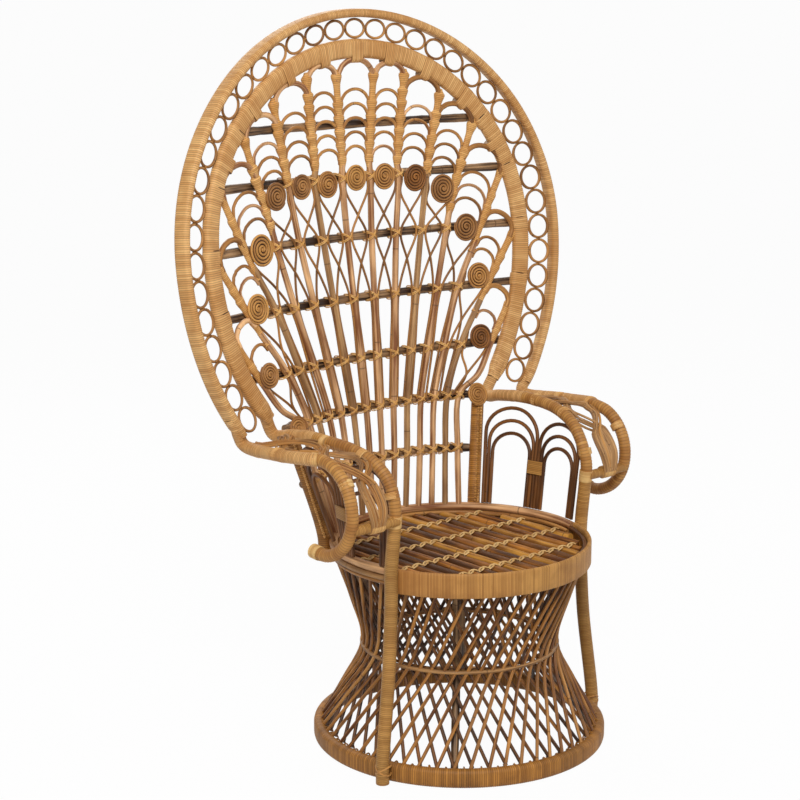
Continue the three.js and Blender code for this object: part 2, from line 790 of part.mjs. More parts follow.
// The outer half turn keeps its radius, so that the coil meets the canes on both sides
function rosette(name, [x, z], layer, size, toward) {
  const outer = size - (rosetteCane / 2) * thinShare;
  const steps = Math.floor(((outer - rosetteEye) / rosettePitch) * rosetteSteps);
  const points = [];
  const mesh = place(name, undefined, tones.cane);
  mesh.position.copy(onBack([x, z], layer));
  mesh.quaternion.setFromUnitVectors(new THREE.Vector3(0, 0, 1), backNormal(x, z).negate());
  const start = toward.clone().applyQuaternion(mesh.quaternion.clone().invert());
  const phase = Math.atan2(start.y, start.x);
  for (let i = 0; i <= steps; i += 1) {
    const turns = Math.floor(i / rosetteSteps);
    const part = i / rosetteSteps - turns;
    const radius = outer - rosettePitch * (turns + Math.max(0, 2 * part - 1));
    const turn = phase + part * full;
    points.push(new THREE.Vector3(Math.cos(turn) * radius, Math.sin(turn) * radius, 0));
  }
  mesh.geometry = pole(points, rosetteCane, downward, thinSides);
  return points;
}

// Least distance between turns of a coil, less the thickness of its cane
function coilGap(points) {
  let least = Infinity;
  points.forEach((a, i) => {
    for (let j = i + rosetteSteps - 2; j < points.length - 1; j += 1) {
      const segment = new THREE.Line3(points[j], points[j + 1]);
      const nearest = segment.closestPointToPoint(a, true, new THREE.Vector3());
      least = Math.min(least, a.distanceTo(nearest));
    }
  });
  return least - rosetteCane;
}

function backFilling() {
  const lines = [];
  for (let i = 0; i < stakeCount; i += 1) lines.push(columnLine(i));
  const layers = [-crossLayer, crossLayer];
  let coil = [];
  const middleCrosses = [];
  [1, -1].forEach((side) => {
    const hand = side > 0 ? "right" : "left";
    let before = [];
    for (let i = 0; i < stakeCount; i += 1) {
      const line = mirrored(lines[i], side);
      const points = columnPoints(line);
      const inner = i > 0 ? mirrored(lines[i - 1], side) : mirrored(lines[0], -side);
      const innerBay = bayFrame(inner, line, rosetteLevels[i]);
      const innerCross = crossingLine(innerBay, line, inner, rosetteLevels[i], side * layers[0]);
      const pieces = [columnGeometry(points), pole(innerCross, crossCane, sheetFacing, thinSides)];
      if (i === 0) middleCrosses.push([points, innerCross]);
      if (i === 0 && side > 0) pieces.push(...bayArcs(innerBay, line, inner, arcCounts[0]));
      if (i > 0) {
        const [innerPoints, outerCross] = before;
        coil = bayRosette(`rosette_${hand}_${i}`, innerBay, innerPoints, points, outerCross, innerCross);
      }
      if (i < stakeCount - 1) {
        const next = mirrored(lines[i + 1], side);
        const bay = bayFrame(line, next, rosetteLevels[i + 1]);
        const cross = crossingLine(bay, line, next, rosetteLevels[i + 1], side * layers[1]);
        pieces.push(...bayArcs(bay, line, next, arcCounts[i + 1]));
        pieces.push(pole(cross, crossCane, sheetFacing, thinSides));
        before = [points, cross];
      }
      place(`column_${hand}_${i + 1}`, fused(pieces), tones.wrapped);
    }
    const spot = [side * postRosetteSpread, postRosetteLevel];
    const proud = -(postPole / 2 + rosetteCane / 4 + clearance + postDip(side));
    rosette(`rosette_${hand}_post`, spot, proud, postRosetteRadius, sideways());
  });
  const middleBay = bayFrame(mirrored(lines[0], -1), lines[0], rosetteLevels[0]);
  const [[rightPoints, rightCross], [leftPoints, leftCross]] = middleCrosses;
  bayRosette("rosette_middle", middleBay, rightPoints, leftPoints, rightCross, leftCross);
  console.log(`least gap between the turns of a rosette: ${coilGap(coil).toFixed(2)} mm`);
}

function postLine(side) {
  const radius = seatRadius + clearance + (postPole / 2) * flatShare;
  const low = onCircle(radius, side * postTurnShare, seatLevel - apronHeight);
  const seat = onCircle(radius, side * postTurnShare, seatLevel);
  return [low, seat, onBack([side * postSpread, postTop])];
}

// How far the post stands before the sheet at the lower edge of its rosette
function postDip(side) {
  const [, seat, top] = postLine(side);
  const level = postRosetteLevel - postRosetteRadius;
  const spot = seat.lerp(top, (level - seat.z) / (top.z - seat.z));
  return Math.max(backDepth(spot.x, spot.z) - spot.y, 0);
}

function crossBars() {
  const layer = (Math.max(ribCane, stakeCane) / 2) * flatShare + barPlay + barPole / 2;
  const barEnd = bandEdge - bandDepth / 4 + 2 * clearance;
  barLevels.forEach((level, index) => {
    let reach = 0;
    const post = postLine(1);
    const rise = (level - post[1].z) / (post[2].z - post[1].z);
    const mark = post[1].clone().lerp(post[2], rise);
    const room = postPole / 2 + barPole / 2 + clearance;
    const clear = (x) => {
      if (index < 2) return onBack([x, level], layer).distanceTo(mark) > room;
      return insideOval([x, level + barPole / 2], barEnd) && insideOval([x, level - barPole / 2], barEnd);
    };
    while (clear(reach + bite)) reach += bite;
    const points = [];
    const steps = 7;
    for (let i = 0; i <= steps; i += 1) {
      points.push(onBack([-reach + (2 * reach * i) / steps, level], layer));
    }
    place(`crossbar_${index + 1}`, pole(points, barPole, sheetFacing, barSides), tones.bark);
  });
}

// Front leg, run on over the arm as its inner rail to the rear post
function frontLeg(side) {
  const legAt = (radius, level) => onCircle(radius, side * legTurn, level);
  const seat = legAt(legRadius, seatLevel);
  const rail = (x, y, z) => new THREE.Vector3(side * x, y, z);
  const bandEnd = onBack(ovalAt(side * bandEndShare, bandInset + bandWidth / 2));
  const last = rail(railSpread, bandEnd.y - 2 * legPole, railLevel - legPole / 4);
  const end = rail(Math.abs(bandEnd.x), bandEnd.y, railLevel - legPole / 2);
  const points = [legAt(legFootRadius, 0), legAt(legFootRadius, baseHeight + clearance),
    legAt((legRadius + legFootRadius) / 2 - legPole / 3, (seatLevel + baseHeight) / 2),
    legAt(legRadius, seatLevel - apronHeight - overhang), seat,
    rail(shoulder, -armReach + legPole / 3, spokeLevel - legPole / 2),
    rail(shoulder, -armReach + legPole / 4, armKnee),
    rail(shoulder, -armReach * kneeShares[0], armKnee + (railLevel - armKnee) * kneeShares[1]),
    rail(shoulder + legPole / 4, -armReach * kneeShares[2], armKnee + (railLevel - armKnee) * kneeShares[3]),
    rail(railSpread - legPole / 3, 0, railLevel - legPole / 4),
    rail(railSpread, armReach * kneeShares[4], railLevel),
    rail(railSpread, armReach * kneeShares[5], railLevel), last, end];
  return points;
}

// Outer rail, from under the end of the oval's rim to the scroll in front
function outerRail(side) {
  const rimEnd = onBack(ovalAt(side * rimEndShare, rimWidth / 2));
  const start = rimEnd.clone();
  start.y += rimDepth / 2;
  start.z = rimEnd.z - rimWidth / 2 - legPole / 2;
  const rail = (x, y, z) => new THREE.Vector3(side * x, y, z);
  const wide = Math.abs(rimEnd.x);
  const top = railLevel - legPole / 4;
  const radius = (top - scrollLevel) / 2;
  const centre = scrollLevel + radius;
  const points = [start, rail(wide, armReach, start.z + legPole / 8),
    rail((wide + scrollSpread) / 2, 0, top)];
  const steps = 8;
  for (let i = 0; i <= steps; i += 1) {
    const turn = (i / steps) * full * scrollShare;
    const y = -armReach + radius * (1 - Math.sin(turn));
    points.push(rail(scrollSpread, y, centre + radius * Math.cos(turn)));
  }
  return points;
}

function armRail(side) {
  const rail = outerRail(side);
  const leg = frontLeg(side)[6];
  const level = spokeLevel;
  const off = (p) => Math.abs(p.z - level) + p.y;
  const hub = rail.reduce((best, p) => (off(p) < off(best) ? p : best));
  const inner = new THREE.Vector3(leg.x + side * ((legPole / 2) * flatShare + clearance), hub.y, level);
  const outer = new THREE.Vector3(hub.x, hub.y, level);
  return fused([pole(rail, legPole, sideways), pole([outer, inner], spokePole, forward)]);
}

// Two flat bundles that wave across each other between the rails
function armWeave(side) {
  const inner = frontLeg(side);
  const outer = outerRail(side);
  const steps = 10;
  const innerPath = new CanePath([inner[11], inner[10], inner[9], inner[8], inner[7], inner[6]]);
  const outerPath = new CanePath([outer[1], outer[2], outer[3], outer[4], outer[5], outer[6]]);
  const strip = (hand) => {
    const points = [];
    for (let i = 0; i <= steps; i += 1) {
      const t = i / steps;
      const a = innerPath.getPoint(t);
      const b = outerPath.getPoint(t);
      const width = a.distanceTo(b);
      const swing = width / 2 - (legPole / 2) * flatShare - weaveWidth / 2 - clearance;
      const q = 0.5 + (hand * swing * Math.cos(t * weaveWaves * full)) / width;
      const ahead = innerPath.getTangent(t).add(outerPath.getTangent(t)).normalize();
      const normal = b.clone().sub(a).cross(ahead).normalize().multiplyScalar(side);
      points.push(a.lerp(b, q).addScaledVector(normal, hand * (weaveThick / 2 - bite)));
    }
    const facing = (p) => new THREE.Vector3(0, p.y, p.z - spokeLevel).normalize();
    return sweep(points, bundleSection(weaveThick, weaveWidth), facing);
  };
  return fused([strip(1), strip(-1)]);
}

// Side panel: two bays of nested arches standing on the seat rim under the arm
function sidePanel(side) {
  const rail = frontLeg(side);
  const railPath = new THREE.CatmullRomCurve3([rail[12], rail[11], rail[10], rail[9], rail[8], rail[7]]);
  const from = postTurnShare + (postPole / 2 + archCane) / (full * seatRadius);
  const to = legTurn - (legPole * panelEndShare) / (full * seatRadius);
  const base = seatLevel + 3 * clearance;
  const spot = (along, up) => {
    const low = onCircle(stakeRadius, side * (from + (to - from) * along), base);
    const high = railPath.getPoint(along);
    high.z -= legPole / 2 + clearance;
    const part = up / (high.z - base);
    const point = low.clone().lerp(high, part);
    return point;
  };
  const long = (to - from) * full * stakeRadius;
  const bays = [[0.0, 0.5, 1], [0.5, 1.0, frontBayShare]];
  const pieces = [];
  bays.forEach(([start, end, tallShare]) => {
    const middle = (start + end) / 2;
    const crown = railPath.getPoint(middle).z - legPole / 2 - base - 2 * clearance - archCane / 2;
    for (let i = 0; i < archCount; i += 1) {
      const half = (end - start) / 2 - ((i + 0.5) * (archCane * thinShare - bite)) / long;
      const peak = crown * tallShare - i * archStep;
      const spring = peak - half * long;
      const places = [[middle - half, 0]];
      for (let k = 0; k <= arcSteps; k += 1) {
        const turn = (k / arcSteps) * Math.PI;
        places.push([middle - half * Math.cos(turn), spring + (peak - spring) * Math.sin(turn)]);
      }
      places.push([middle + half, 0]);
      pieces.push(pole(places.map(([a, u]) => spot(a, u)), archCane, outward, thinSides));
    }
  });
  return fused(pieces);
}

place("base_ring", baseRing(), tones.wrapped);
lattice();
innerLegs();
place("seat_rim", seatRim(), tones.dark);
place("seat_apron", seatApron(), tones.wrapped);
place("seat_deck", seatDeck(), tones.dark);
const outerRim = ovalSweep(rimWidth / 2, rimEndShare, bandSection(rimDepth, rimWidth), ringFacets);
const innerRim = ovalSweep(bandInset, bandEndShare, bandSection(bandDepth, bandWidth), ringFacets);
place("outer_rim", outerRim, tones.wrapped);
place("inner_rim", innerRim, tones.wrapped);
place("ring_chain", ringChain(), tones.cane);
backFilling();
crossBars();
[1, -1].forEach((side) => {
  const hand = side > 0 ? "right" : "left";
  place(`rear_post_${hand}`, pole(postLine(side), postPole, outward), tones.wrapped);
  const legFacing = (p) => (p.z > seatLevel ? sideways().multiplyScalar(side) : outward(p));
  place(`front_leg_${hand}`, pole(frontLeg(side), legPole, legFacing), tones.wrapped);
  place(`arm_rail_${hand}`, armRail(side), tones.wrapped);
  place(`arm_weave_${hand}`, armWeave(side), tones.cane);
  place(`side_panel_${hand}`, sidePanel(side), tones.dark);
});

// The base stays centred under the middle of the chair's depth
const bounds = new THREE.Box3().setFromObject(chair);
chair.position.y = -(bounds.min.y + bounds.max.y) / 2;

export default chair;
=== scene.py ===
import math
import random

import bpy
import numpy as np
from mathutils import Matrix, Vector


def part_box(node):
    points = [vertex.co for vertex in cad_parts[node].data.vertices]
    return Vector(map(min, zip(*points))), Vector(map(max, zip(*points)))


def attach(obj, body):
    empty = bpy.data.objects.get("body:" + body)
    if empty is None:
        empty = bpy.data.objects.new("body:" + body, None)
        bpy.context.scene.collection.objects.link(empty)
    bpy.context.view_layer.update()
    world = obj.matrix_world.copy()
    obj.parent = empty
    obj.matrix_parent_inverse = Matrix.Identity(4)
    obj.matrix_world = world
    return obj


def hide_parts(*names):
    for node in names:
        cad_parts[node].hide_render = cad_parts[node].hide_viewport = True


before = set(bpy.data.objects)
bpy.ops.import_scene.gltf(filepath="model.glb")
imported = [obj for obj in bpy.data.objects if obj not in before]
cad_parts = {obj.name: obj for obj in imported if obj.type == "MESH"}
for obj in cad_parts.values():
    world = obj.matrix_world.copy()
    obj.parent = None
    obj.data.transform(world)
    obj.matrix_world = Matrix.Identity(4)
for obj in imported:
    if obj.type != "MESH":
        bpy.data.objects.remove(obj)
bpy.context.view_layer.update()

random.seed(11)
fullTurn = 2 * math.pi
ringLow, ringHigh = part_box("base_ring")
midY = (ringLow.y + ringHigh.y) / 2  # the axis of the base, the seat and the front legs' circle

# The chair's own measures, in metres
seat = {"radius": 0.2645, "level": 0.42, "apron": 0.05, "rimPole": 0.018}
sheet = {"lean": 0.067, "leanHeight": 0.8, "bend": 1.72, "fade": 0.12, "widest": 0.95}
oval = {"level": 0.99, "halfWidth": 0.505, "rise": 0.468, "drop": 0.555,
        "rimWidth": 0.017, "rimDepth": 0.034, "rimEnd": 0.357, "sideGrowth": 0.01,
        "ringGap": 0.043, "bandWidth": 0.039, "bandDepth": 0.02, "bandEnd": 0.37}
bars = {"levels": [0.532, 0.642, 0.747, 0.87, 0.996, 1.118, 1.225], "thick": 0.018, "behind": 0.0167}
fan = {"stake": 0.0132, "rib": 0.016, "turn": 0.01805, "pitch": 0.0285, "rate": 0.0804, "squeeze": 0.1,
       "sunk": 0.004, "intoBand": 0.006,
       "feet": [(0.071, 0.342), (0.218, 0.314), (0.370, 0.267), (0.487, 0.128),
                (0.600, -0.053), (0.594, -0.331), (0.535, -0.662)],
       "tops": [(0.099, 0.720), (0.251, 0.641), (0.434, 0.588), (0.620, 0.520),
                (0.760, 0.290), (0.800, -0.010), (0.745, -0.340)]}
stakeRadius = seat["radius"] - seat["rimPole"] / 2
bandEdge = oval["rimWidth"] + oval["ringGap"] + oval["bandWidth"]
hands = {1: "right", -1: "left"}
# How close doubles merge, the angle that stays smooth, and how far a cane's pattern may slide
making = {"merge": 0.000002, "smoothAngle": 50, "slides": 900, "slideRound": 0.013, "copyRound": 0.017,
          "slideAlong": 0.0371}


def smooth(t):
    s = min(max(t, 0), 1)
    return s * s * (3 - 2 * s)


def sheetDepth(x, z):  # how far back the leaning, curved back lies
    centre = stakeRadius + sheet["lean"] * smooth((z - seat["level"]) / sheet["leanHeight"])
    near = min(abs(x), stakeRadius * sheet["widest"])
    arcDip = stakeRadius - math.sqrt(stakeRadius ** 2 - near ** 2)
    flatDip = x * x / (2 * sheet["bend"])
    fade = math.exp((seat["level"] - z) / sheet["fade"])
    return midY + centre - flatDip - (arcDip - flatDip) * fade


def sheetNormal(x, z):
    step = 0.001
    across = (sheetDepth(x + step, z) - sheetDepth(x - step, z)) / (2 * step)
    up = (sheetDepth(x, z + step) - sheetDepth(x, z - step)) / (2 * step)
    return np.array(Vector((-across, 1, -up)).normalized())


def onSheet(x, z, layer=0.0):
    return np.array([x, sheetDepth(x, z), z]) + sheetNormal(x, z) * layer


def sheetFacing(p):
    return sheetNormal(p[0], p[2])


def onCircle(radius, turn, level):  # turn 0 is the back, a quarter is the chair's right
    return np.array([radius * math.sin(turn * fullTurn), midY + radius * math.cos(turn * fullTurn), level])


def outwardFacing(p):
    return np.array(Vector((p[0], p[1] - midY, 0)).normalized())


def sideInset(inset, a):  # at the sides the rings have a little more room than at the top
    share = min(max((inset - oval["rimWidth"]) / oval["ringGap"], 0), 1)
    return inset + oval["sideGrowth"] * math.sin(a) ** 2 * share


def ovalTall(above):  # the oval reaches further down from its widest level than up
    return oval["rise"] if above else oval["drop"]


def ovalAt(turn, inset):
    a = turn * fullTurn
    tall = ovalTall(math.cos(a) > 0)
    inset = sideInset(inset, a)
    return (oval["halfWidth"] - inset) * math.sin(a), oval["level"] + (tall - inset) * math.cos(a)


def ovalAngle(x, z, inset=0.0):
    tall = ovalTall(z > oval["level"])
    return math.atan2(x / (oval["halfWidth"] - inset), (z - oval["level"]) / (tall - inset))


def insideOval(x, z, inset):
    tall = ovalTall(z > oval["level"])
    inset = sideInset(inset, ovalAngle(x, z))
    return (x / (oval["halfWidth"] - inset)) ** 2 + ((z - oval["level"]) / (tall - inset)) ** 2 < 1


def pathLength(points):
    return np.concatenate([[0], np.cumsum(np.linalg.norm(np.diff(points, axis=0), axis=1))])


def evenTurns(inset, end, count, tries=1441):  # turns at even distances along the oval
    fine = np.linspace(-end, end, tries)
    run = pathLength(np.array([ovalAt(t, inset) for t in fine]))
    return np.interp(np.linspace(0, run[-1], count), run, fine), run[-1] / (count - 1)


def resample(points, spacing):
    points = np.array(points, float)
    run = pathLength(points)
    wanted = np.linspace(0, run[-1], max(int(round(run[-1] / spacing)), 2) + 1)
    return np.stack([np.interp(wanted, run, points[:, k]) for k in range(3)], axis=1)


def roundPath(points, steps=10):  # a smooth curve through the points
    points = [np.array(p, float) for p in points]
    points = [2 * points[0] - points[1]] + points + [2 * points[-1] - points[-2]]
    out = []
    for i in range(1, len(points) - 2):
        a, b, c, d = points[i - 1:i + 3]
        ta, tb, tc = [max(np.linalg.norm(q - p), 1e-6) ** 0.5 for p, q in ((a, b), (b, c), (c, d))]
        m1 = ((b - a) / ta - (c - a) / (ta + tb) + (c - b) / tb) * tb
        m2 = ((c - b) / tb - (d - b) / (tb + tc) + (d - c) / tc) * tb
        for k in range(steps):
            s = k / steps
            out.append((2 * s ** 3 - 3 * s ** 2 + 1) * b + (s ** 3 - 2 * s ** 2 + s) * m1
                       + (3 * s ** 2 - 2 * s ** 3) * c + (s ** 3 - s ** 2) * m2)
    out.append(points[-2])
    return np.array(out)


def loopPath(wide, deep, tall, spots):  # a closed loop round the origin
    return [(wide * math.cos(a), deep * math.sin(a), tall * math.sin(a)) for a in np.linspace(0, fullTurn, spots)]


def narrowEnds(path, least, length):  # a swell that draws a wrap in at both of its ends
    def swell(p):
        edge = min(np.linalg.norm(p - path[0]), np.linalg.norm(p - path[-1]))
        return least + (1 - least) * smooth(edge / length)
    return swell


def deselectAll():
    if bpy.context.object and bpy.context.object.mode != "OBJECT":
        bpy.ops.object.mode_set(mode="OBJECT")
    bpy.ops.object.select_all(action="DESELECT")


def roundOutline(size, sides, flat=1.0):  # first number along the facing, second across it
    return [(math.cos(a) * size * flat / 2, math.sin(a) * size / 2)
            for a in (fullTurn * (i + 0.5) / sides for i in range(sides))]


def flatOutline(depth, width, corner=0.35, steps=3):  # a bar with rounded corners
    r = min(depth, width) * corner
    out = []
    for k, (sx, sy) in enumerate(((1, 1), (-1, 1), (-1, -1), (1, -1))):
        for i in range(steps + 1):
            a = fullTurn * (k + i / steps) / 4
            out.append((sx * (depth / 2 - r) + r * math.cos(a), sy * (width / 2 - r) + r * math.sin(a)))
    return out


def rollCane(name, points, facing, outline, finish, swell=None, beat=None, closed=False):
    # A grid is rolled into a closed cane along a path; its UV map is metres round it and along it
    points = np.array(points, float)
    stations, sides = len(points), len(outline)
    deselectAll()
    bpy.ops.mesh.primitive_grid_add(x_subdivisions=sides, y_subdivisions=stations - 1, size=1)
    piece = bpy.context.object
    piece.name = name
    tangents = np.gradient(points, axis=0)
    if closed:
        tangents[0] = tangents[-1] = points[1] - points[-2]
    tangents /= np.linalg.norm(tangents, axis=1)[:, None]
    normals = np.array([facing(p) for p in points])
    normals = normals - tangents * np.sum(normals * tangents, axis=1)[:, None]
    normals /= np.linalg.norm(normals, axis=1)[:, None]
    across = np.cross(tangents, normals)
    swell = np.ones(stations) if swell is None else np.array(swell, float)
    if closed:
        swell[-1] = swell[0]
    ring = np.array(list(outline) + [outline[0]])
    spots = (points[:, None, :] + swell[:, None, None]
             * (normals[:, None, :] * ring[None, :, 0:1] + across[:, None, :] * ring[None, :, 1:2]))
    piece.data.vertices.foreach_set("co", spots.reshape(-1))
    run = pathLength(points) if beat is None else np.arange(stations) * beat
    girth = pathLength(ring)
    layer = piece.data.uv_layers[0]
    loops = np.zeros(len(piece.data.loops) * 2)
    layer.data.foreach_get("uv", loops)
    loops = loops.reshape(-1, 2)
    slide = random.randint(0, making["slides"])
    stride = 2 * beat if beat else making["slideAlong"]
    loops[:, 0] = girth[np.rint(loops[:, 0] * sides).astype(int)] + slide * making["slideRound"]
    loops[:, 1] = run[np.rint(loops[:, 1] * (stations - 1)).astype(int)] + slide * stride
    layer.data.foreach_set("uv", loops.reshape(-1))
    bpy.ops.object.mode_set(mode="EDIT")
    bpy.ops.mesh.select_all(action="SELECT")
    bpy.ops.mesh.remove_doubles(threshold=making["merge"])
    bpy.ops.mesh.fill_holes(sides=0)
    bpy.ops.mesh.select_all(action="SELECT")
    bpy.ops.mesh.normals_make_consistent(inside=False)
    bpy.ops.object.mode_set(mode="OBJECT")
    bpy.ops.object.shade_smooth_by_angle(angle=math.radians(making["smoothAngle"]))
    piece.data.materials.append(finishes[finish])
    return piece


def wrapCane(name, points, facing, outline, finish="wrapped", ridge=0.03, swell=None, closed=False):
    # A cane closely wrapped with split cane: every turn is a low ridge, as wide as its finish's turns
    pitch = tones[finish][-1].get("Pitch", wrapPattern["pitch"])
    points = resample(points, pitch / 2)
    ridges = np.where(np.arange(len(points)) % 2 == 0, 1 - ridge, 1.0)
    if swell is not None:
        ridges = ridges * np.array([swell(p) for p in points])
    return rollCane(name, points, facing, outline, finish, ridges, beat=pitch / 2, closed=closed)


def copyPiece(source, matrix):
    piece = source.copy()
    piece.data = source.data.copy()
    piece.data.transform(matrix)
    bpy.context.scene.collection.objects.link(piece)
    uv = piece.data.uv_layers[0].data
    values = np.zeros(len(uv) * 2)
    uv.foreach_get("uv", values)
    values[0::2] += random.randint(0, making["slides"]) * making["copyRound"]
    values[1::2] += random.randint(0, making["slides"]) * making["slideAlong"]
    uv.foreach_set("uv", values)
    return piece


def dropPiece(piece):
    data = piece.data
    bpy.data.objects.remove(piece)
    bpy.data.meshes.remove(data)


def joinPieces(name, pieces):
    deselectAll()
    for piece in pieces:
        piece.select_set(True)
    bpy.context.view_layer.objects.active = pieces[0]
    if len(pieces) > 1:
        bpy.ops.object.join()
    whole = bpy.context.view_layer.objects.active
    whole.name = name
    whole.data.name = name
    return whole


def settle(piece, slot, *nodes):  # it rides on the one body and stands for its nodes
    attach(piece, "root")
    if nodes:
        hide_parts(*nodes)
    return piece


def standAt(centre, xWay, yWay):  # stands a copy at centre with its x and y ways turned
    x = Vector(xWay).normalized()
    z = x.cross(Vector(yWay)).normalized()
    y = z.cross(x)
    return Matrix.Translation(Vector(centre)) @ Matrix((x, y, z)).transposed().to_4x4()


def tint(code):
    out = []
    for i in (0, 2, 4):
        v = int(code[i:i + 2], 16) / 255
        out.append(v / 12.92 if v <= 0.04045 else ((v + 0.055) / 1.055) ** 2.4)
    return (*out, 1)


class Tree:  # short words for adding nodes and linking them
    def __init__(self, tree):
        self.tree = tree

    def add(self, kind, **values):
        node = self.tree.nodes.new(kind)
        for key, value in values.items():
            if hasattr(node, key):
                setattr(node, key, value)
            else:
                node.inputs[key].default_value = value
        return node

    def feed(self, source, node, slot):
        self.tree.links.new(source, node.inputs[slot])

    def math(self, operation, *values):
        node = self.add("ShaderNodeMath", operation=operation)
        for k, value in enumerate(values):
            if isinstance(value, (int, float)):
                node.inputs[k].default_value = value
            else:
                self.tree.links.new(value, node.inputs[k])
        return node.outputs[0]

    def times(self, a, b):
        return self.math("MULTIPLY", a, b)

    def plus(self, a, b):
        return self.math("ADD", a, b)

    def minus(self, a, b):
        return self.math("SUBTRACT", a, b)

    def mix(self, factor, a, b, blend="MIX"):
        node = self.add("ShaderNodeMix", data_type="RGBA", blend_type=blend, clamp_result=True)
        for slot, value in ((0, factor), (6, a), (7, b)):
            if isinstance(value, (int, float, tuple)):
                node.inputs[slot].default_value = value
            else:
                self.tree.links.new(value, node.inputs[slot])
        return node.outputs[2]

    def noise(self, place, scale, detail=3, rough=0.55):
        node = self.add("ShaderNodeTexNoise", Scale=scale, Detail=detail, Roughness=rough)
        self.feed(place, node, "Vector")
        return node.outputs[0]

    def spread(self, value, low, high):
        node = self.add("ShaderNodeMapRange")
        self.feed(value, node, 0)
        node.inputs[1].default_value, node.inputs[2].default_value = low, high
        return node.outputs[0]

    def stretch(self, split, round, along):
        node = self.add("ShaderNodeCombineXYZ")
        self.feed(self.times(split.outputs[0], round), node, 0)
        self.feed(self.times(split.outputs[1], along), node, 1)
        return node.outputs[0]


def newGroup(name, inputs):
    tree = bpy.data.node_groups.new(name, "ShaderNodeTree")
    for label, kind, value in [("Run", "Vector", None), ("Place", "Vector", None)] + inputs:
        socket = tree.interface.new_socket(name=label, in_out="INPUT", socket_type="NodeSocket" + kind)
        if value is not None:
            socket.default_value = value
    for label, kind in (("Color", "Color"), ("Height", "Float"), ("Rough", "Float")):
        tree.interface.new_socket(name=label, in_out="OUTPUT", socket_type="NodeSocket" + kind)
    return tree, Tree(tree), tree.nodes.new("NodeGroupInput"), tree.nodes.new("NodeGroupOutput")


wrapPattern = {"pitch": 0.0042, "fibre": (60.0, 2400.0), "patch": 6.5, "mottle": 26, "own": 0.55, "mottled": 0.45,
               "edge": 4.0, "rough": 0.4, "rougher": 0.3}


def splitWrapGroup():  # close turns of split cane: each has its own tone and fine fibres, with painted shade in the groove between turns
    s = wrapPattern
    tree, t, start, end = newGroup("splitWrap", [
        ("Pitch", "Float", s["pitch"]), ("Groove shade", "Float", 0.5), ("Patch", "Float", 0.6),
        ("Pale", "Color", tint("e0b678")), ("Deep", "Color", tint("b07a3c")), ("Warm", "Color", tint("c07c38"))])
    split = t.add("ShaderNodeSeparateXYZ")
    t.feed(start.outputs["Run"], split, 0)
    turns = t.math("DIVIDE", split.outputs[1], start.outputs["Pitch"])
    dice = t.add("ShaderNodeTexWhiteNoise", noise_dimensions="1D")
    t.feed(t.math("FLOOR", turns), dice, "W")
    fibre = t.noise(t.stretch(split, *s["fibre"]), 1, 3, 0.6)
    patch = t.spread(t.noise(start.outputs["Place"], s["patch"], 3), 0.4, 0.68)
    tone = t.plus(t.times(dice.outputs["Value"], s["own"]), t.times(fibre, s["own"]))
    colour = t.mix(tone, start.outputs["Deep"], start.outputs["Pale"])
    colour = t.mix(t.times(patch, start.outputs["Patch"]), colour, start.outputs["Warm"])
    mottle = t.spread(t.noise(start.outputs["Place"], s["mottle"], 2), 0.5, 0.72)
    colour = t.mix(t.times(mottle, s["mottled"]), colour, start.outputs["Deep"])
    # painted shade: the colour darkens towards the groove between two turns; the same mask also sinks the relief
    edge = t.math("ABSOLUTE", t.minus(t.times(t.math("FRACT", turns), 2.0), 1.0))
    grooveShade = t.math("POWER", edge, s["edge"])
    shade = t.minus(1.0, t.times(grooveShade, start.outputs["Groove shade"]))
    t.feed(t.mix(1.0, colour, shade, "MULTIPLY"), end, "Color")
    t.feed(t.minus(t.times(fibre, 0.3), t.times(grooveShade, 0.7)), end, "Height")
    t.feed(t.plus(s["rough"], t.times(fibre, s["rougher"])), end, "Rough")
    return tree


canePattern = {"fibre": (700.0, 14.0), "blotch": (30.0, 9.0), "streak": (230.0, 5.0), "room": 5, "share": 0.6,
               "jointPlace": 0.37, "jointEdge": 500.0, "jointTone": 0.8, "rough": 0.36, "rougher": 0.32}


def bareCaneGroup():  # a whole cane: long fibres, blotches, and a joint every hand's breadth or so
    s = canePattern
    tree, t, start, end = newGroup("bareCane", [
        ("Pale", "Color", tint("b98a56")), ("Deep", "Color", tint("7f5530")),
        ("Joint", "Color", tint("4e3420")), ("Blotch", "Float", 0.5), ("Joint gap", "Float", 0.19)])
    split = t.add("ShaderNodeSeparateXYZ")
    t.feed(start.outputs["Run"], split, 0)
    fibre = t.noise(t.stretch(split, *s["fibre"]), 1, 4, 0.65)
    blotch = t.spread(t.noise(t.stretch(split, *s["blotch"]), 1, 2, 0.5), 0.32, 0.68)
    room = t.noise(start.outputs["Place"], s["room"], 2)
    streak = t.spread(t.noise(t.stretch(split, *s["streak"]), 1, 2, 0.5), 0.36, 0.64)
    tone = t.plus(t.times(fibre, s["share"]), t.times(blotch, start.outputs["Blotch"]))
    for uneven in (streak, room):
        tone = t.plus(tone, t.times(t.minus(uneven, 0.5), s["share"]))
    colour = t.mix(tone, start.outputs["Pale"], start.outputs["Deep"])
    gap = start.outputs["Joint gap"]
    part = t.math("FRACT", t.plus(t.math("DIVIDE", split.outputs[1], gap), s["jointPlace"]))
    near = t.times(t.math("ABSOLUTE", t.minus(part, 0.5)), gap)
    joint = t.math("MAXIMUM", t.minus(1.0, t.times(near, s["jointEdge"])), 0.0)
    t.feed(t.mix(t.times(joint, s["jointTone"]), colour, start.outputs["Joint"]), end, "Color")
    t.feed(t.plus(t.times(fibre, 0.5), t.times(joint, 0.6)), end, "Height")
    t.feed(t.plus(s["rough"], t.times(fibre, s["rougher"])), end, "Rough")
    return tree


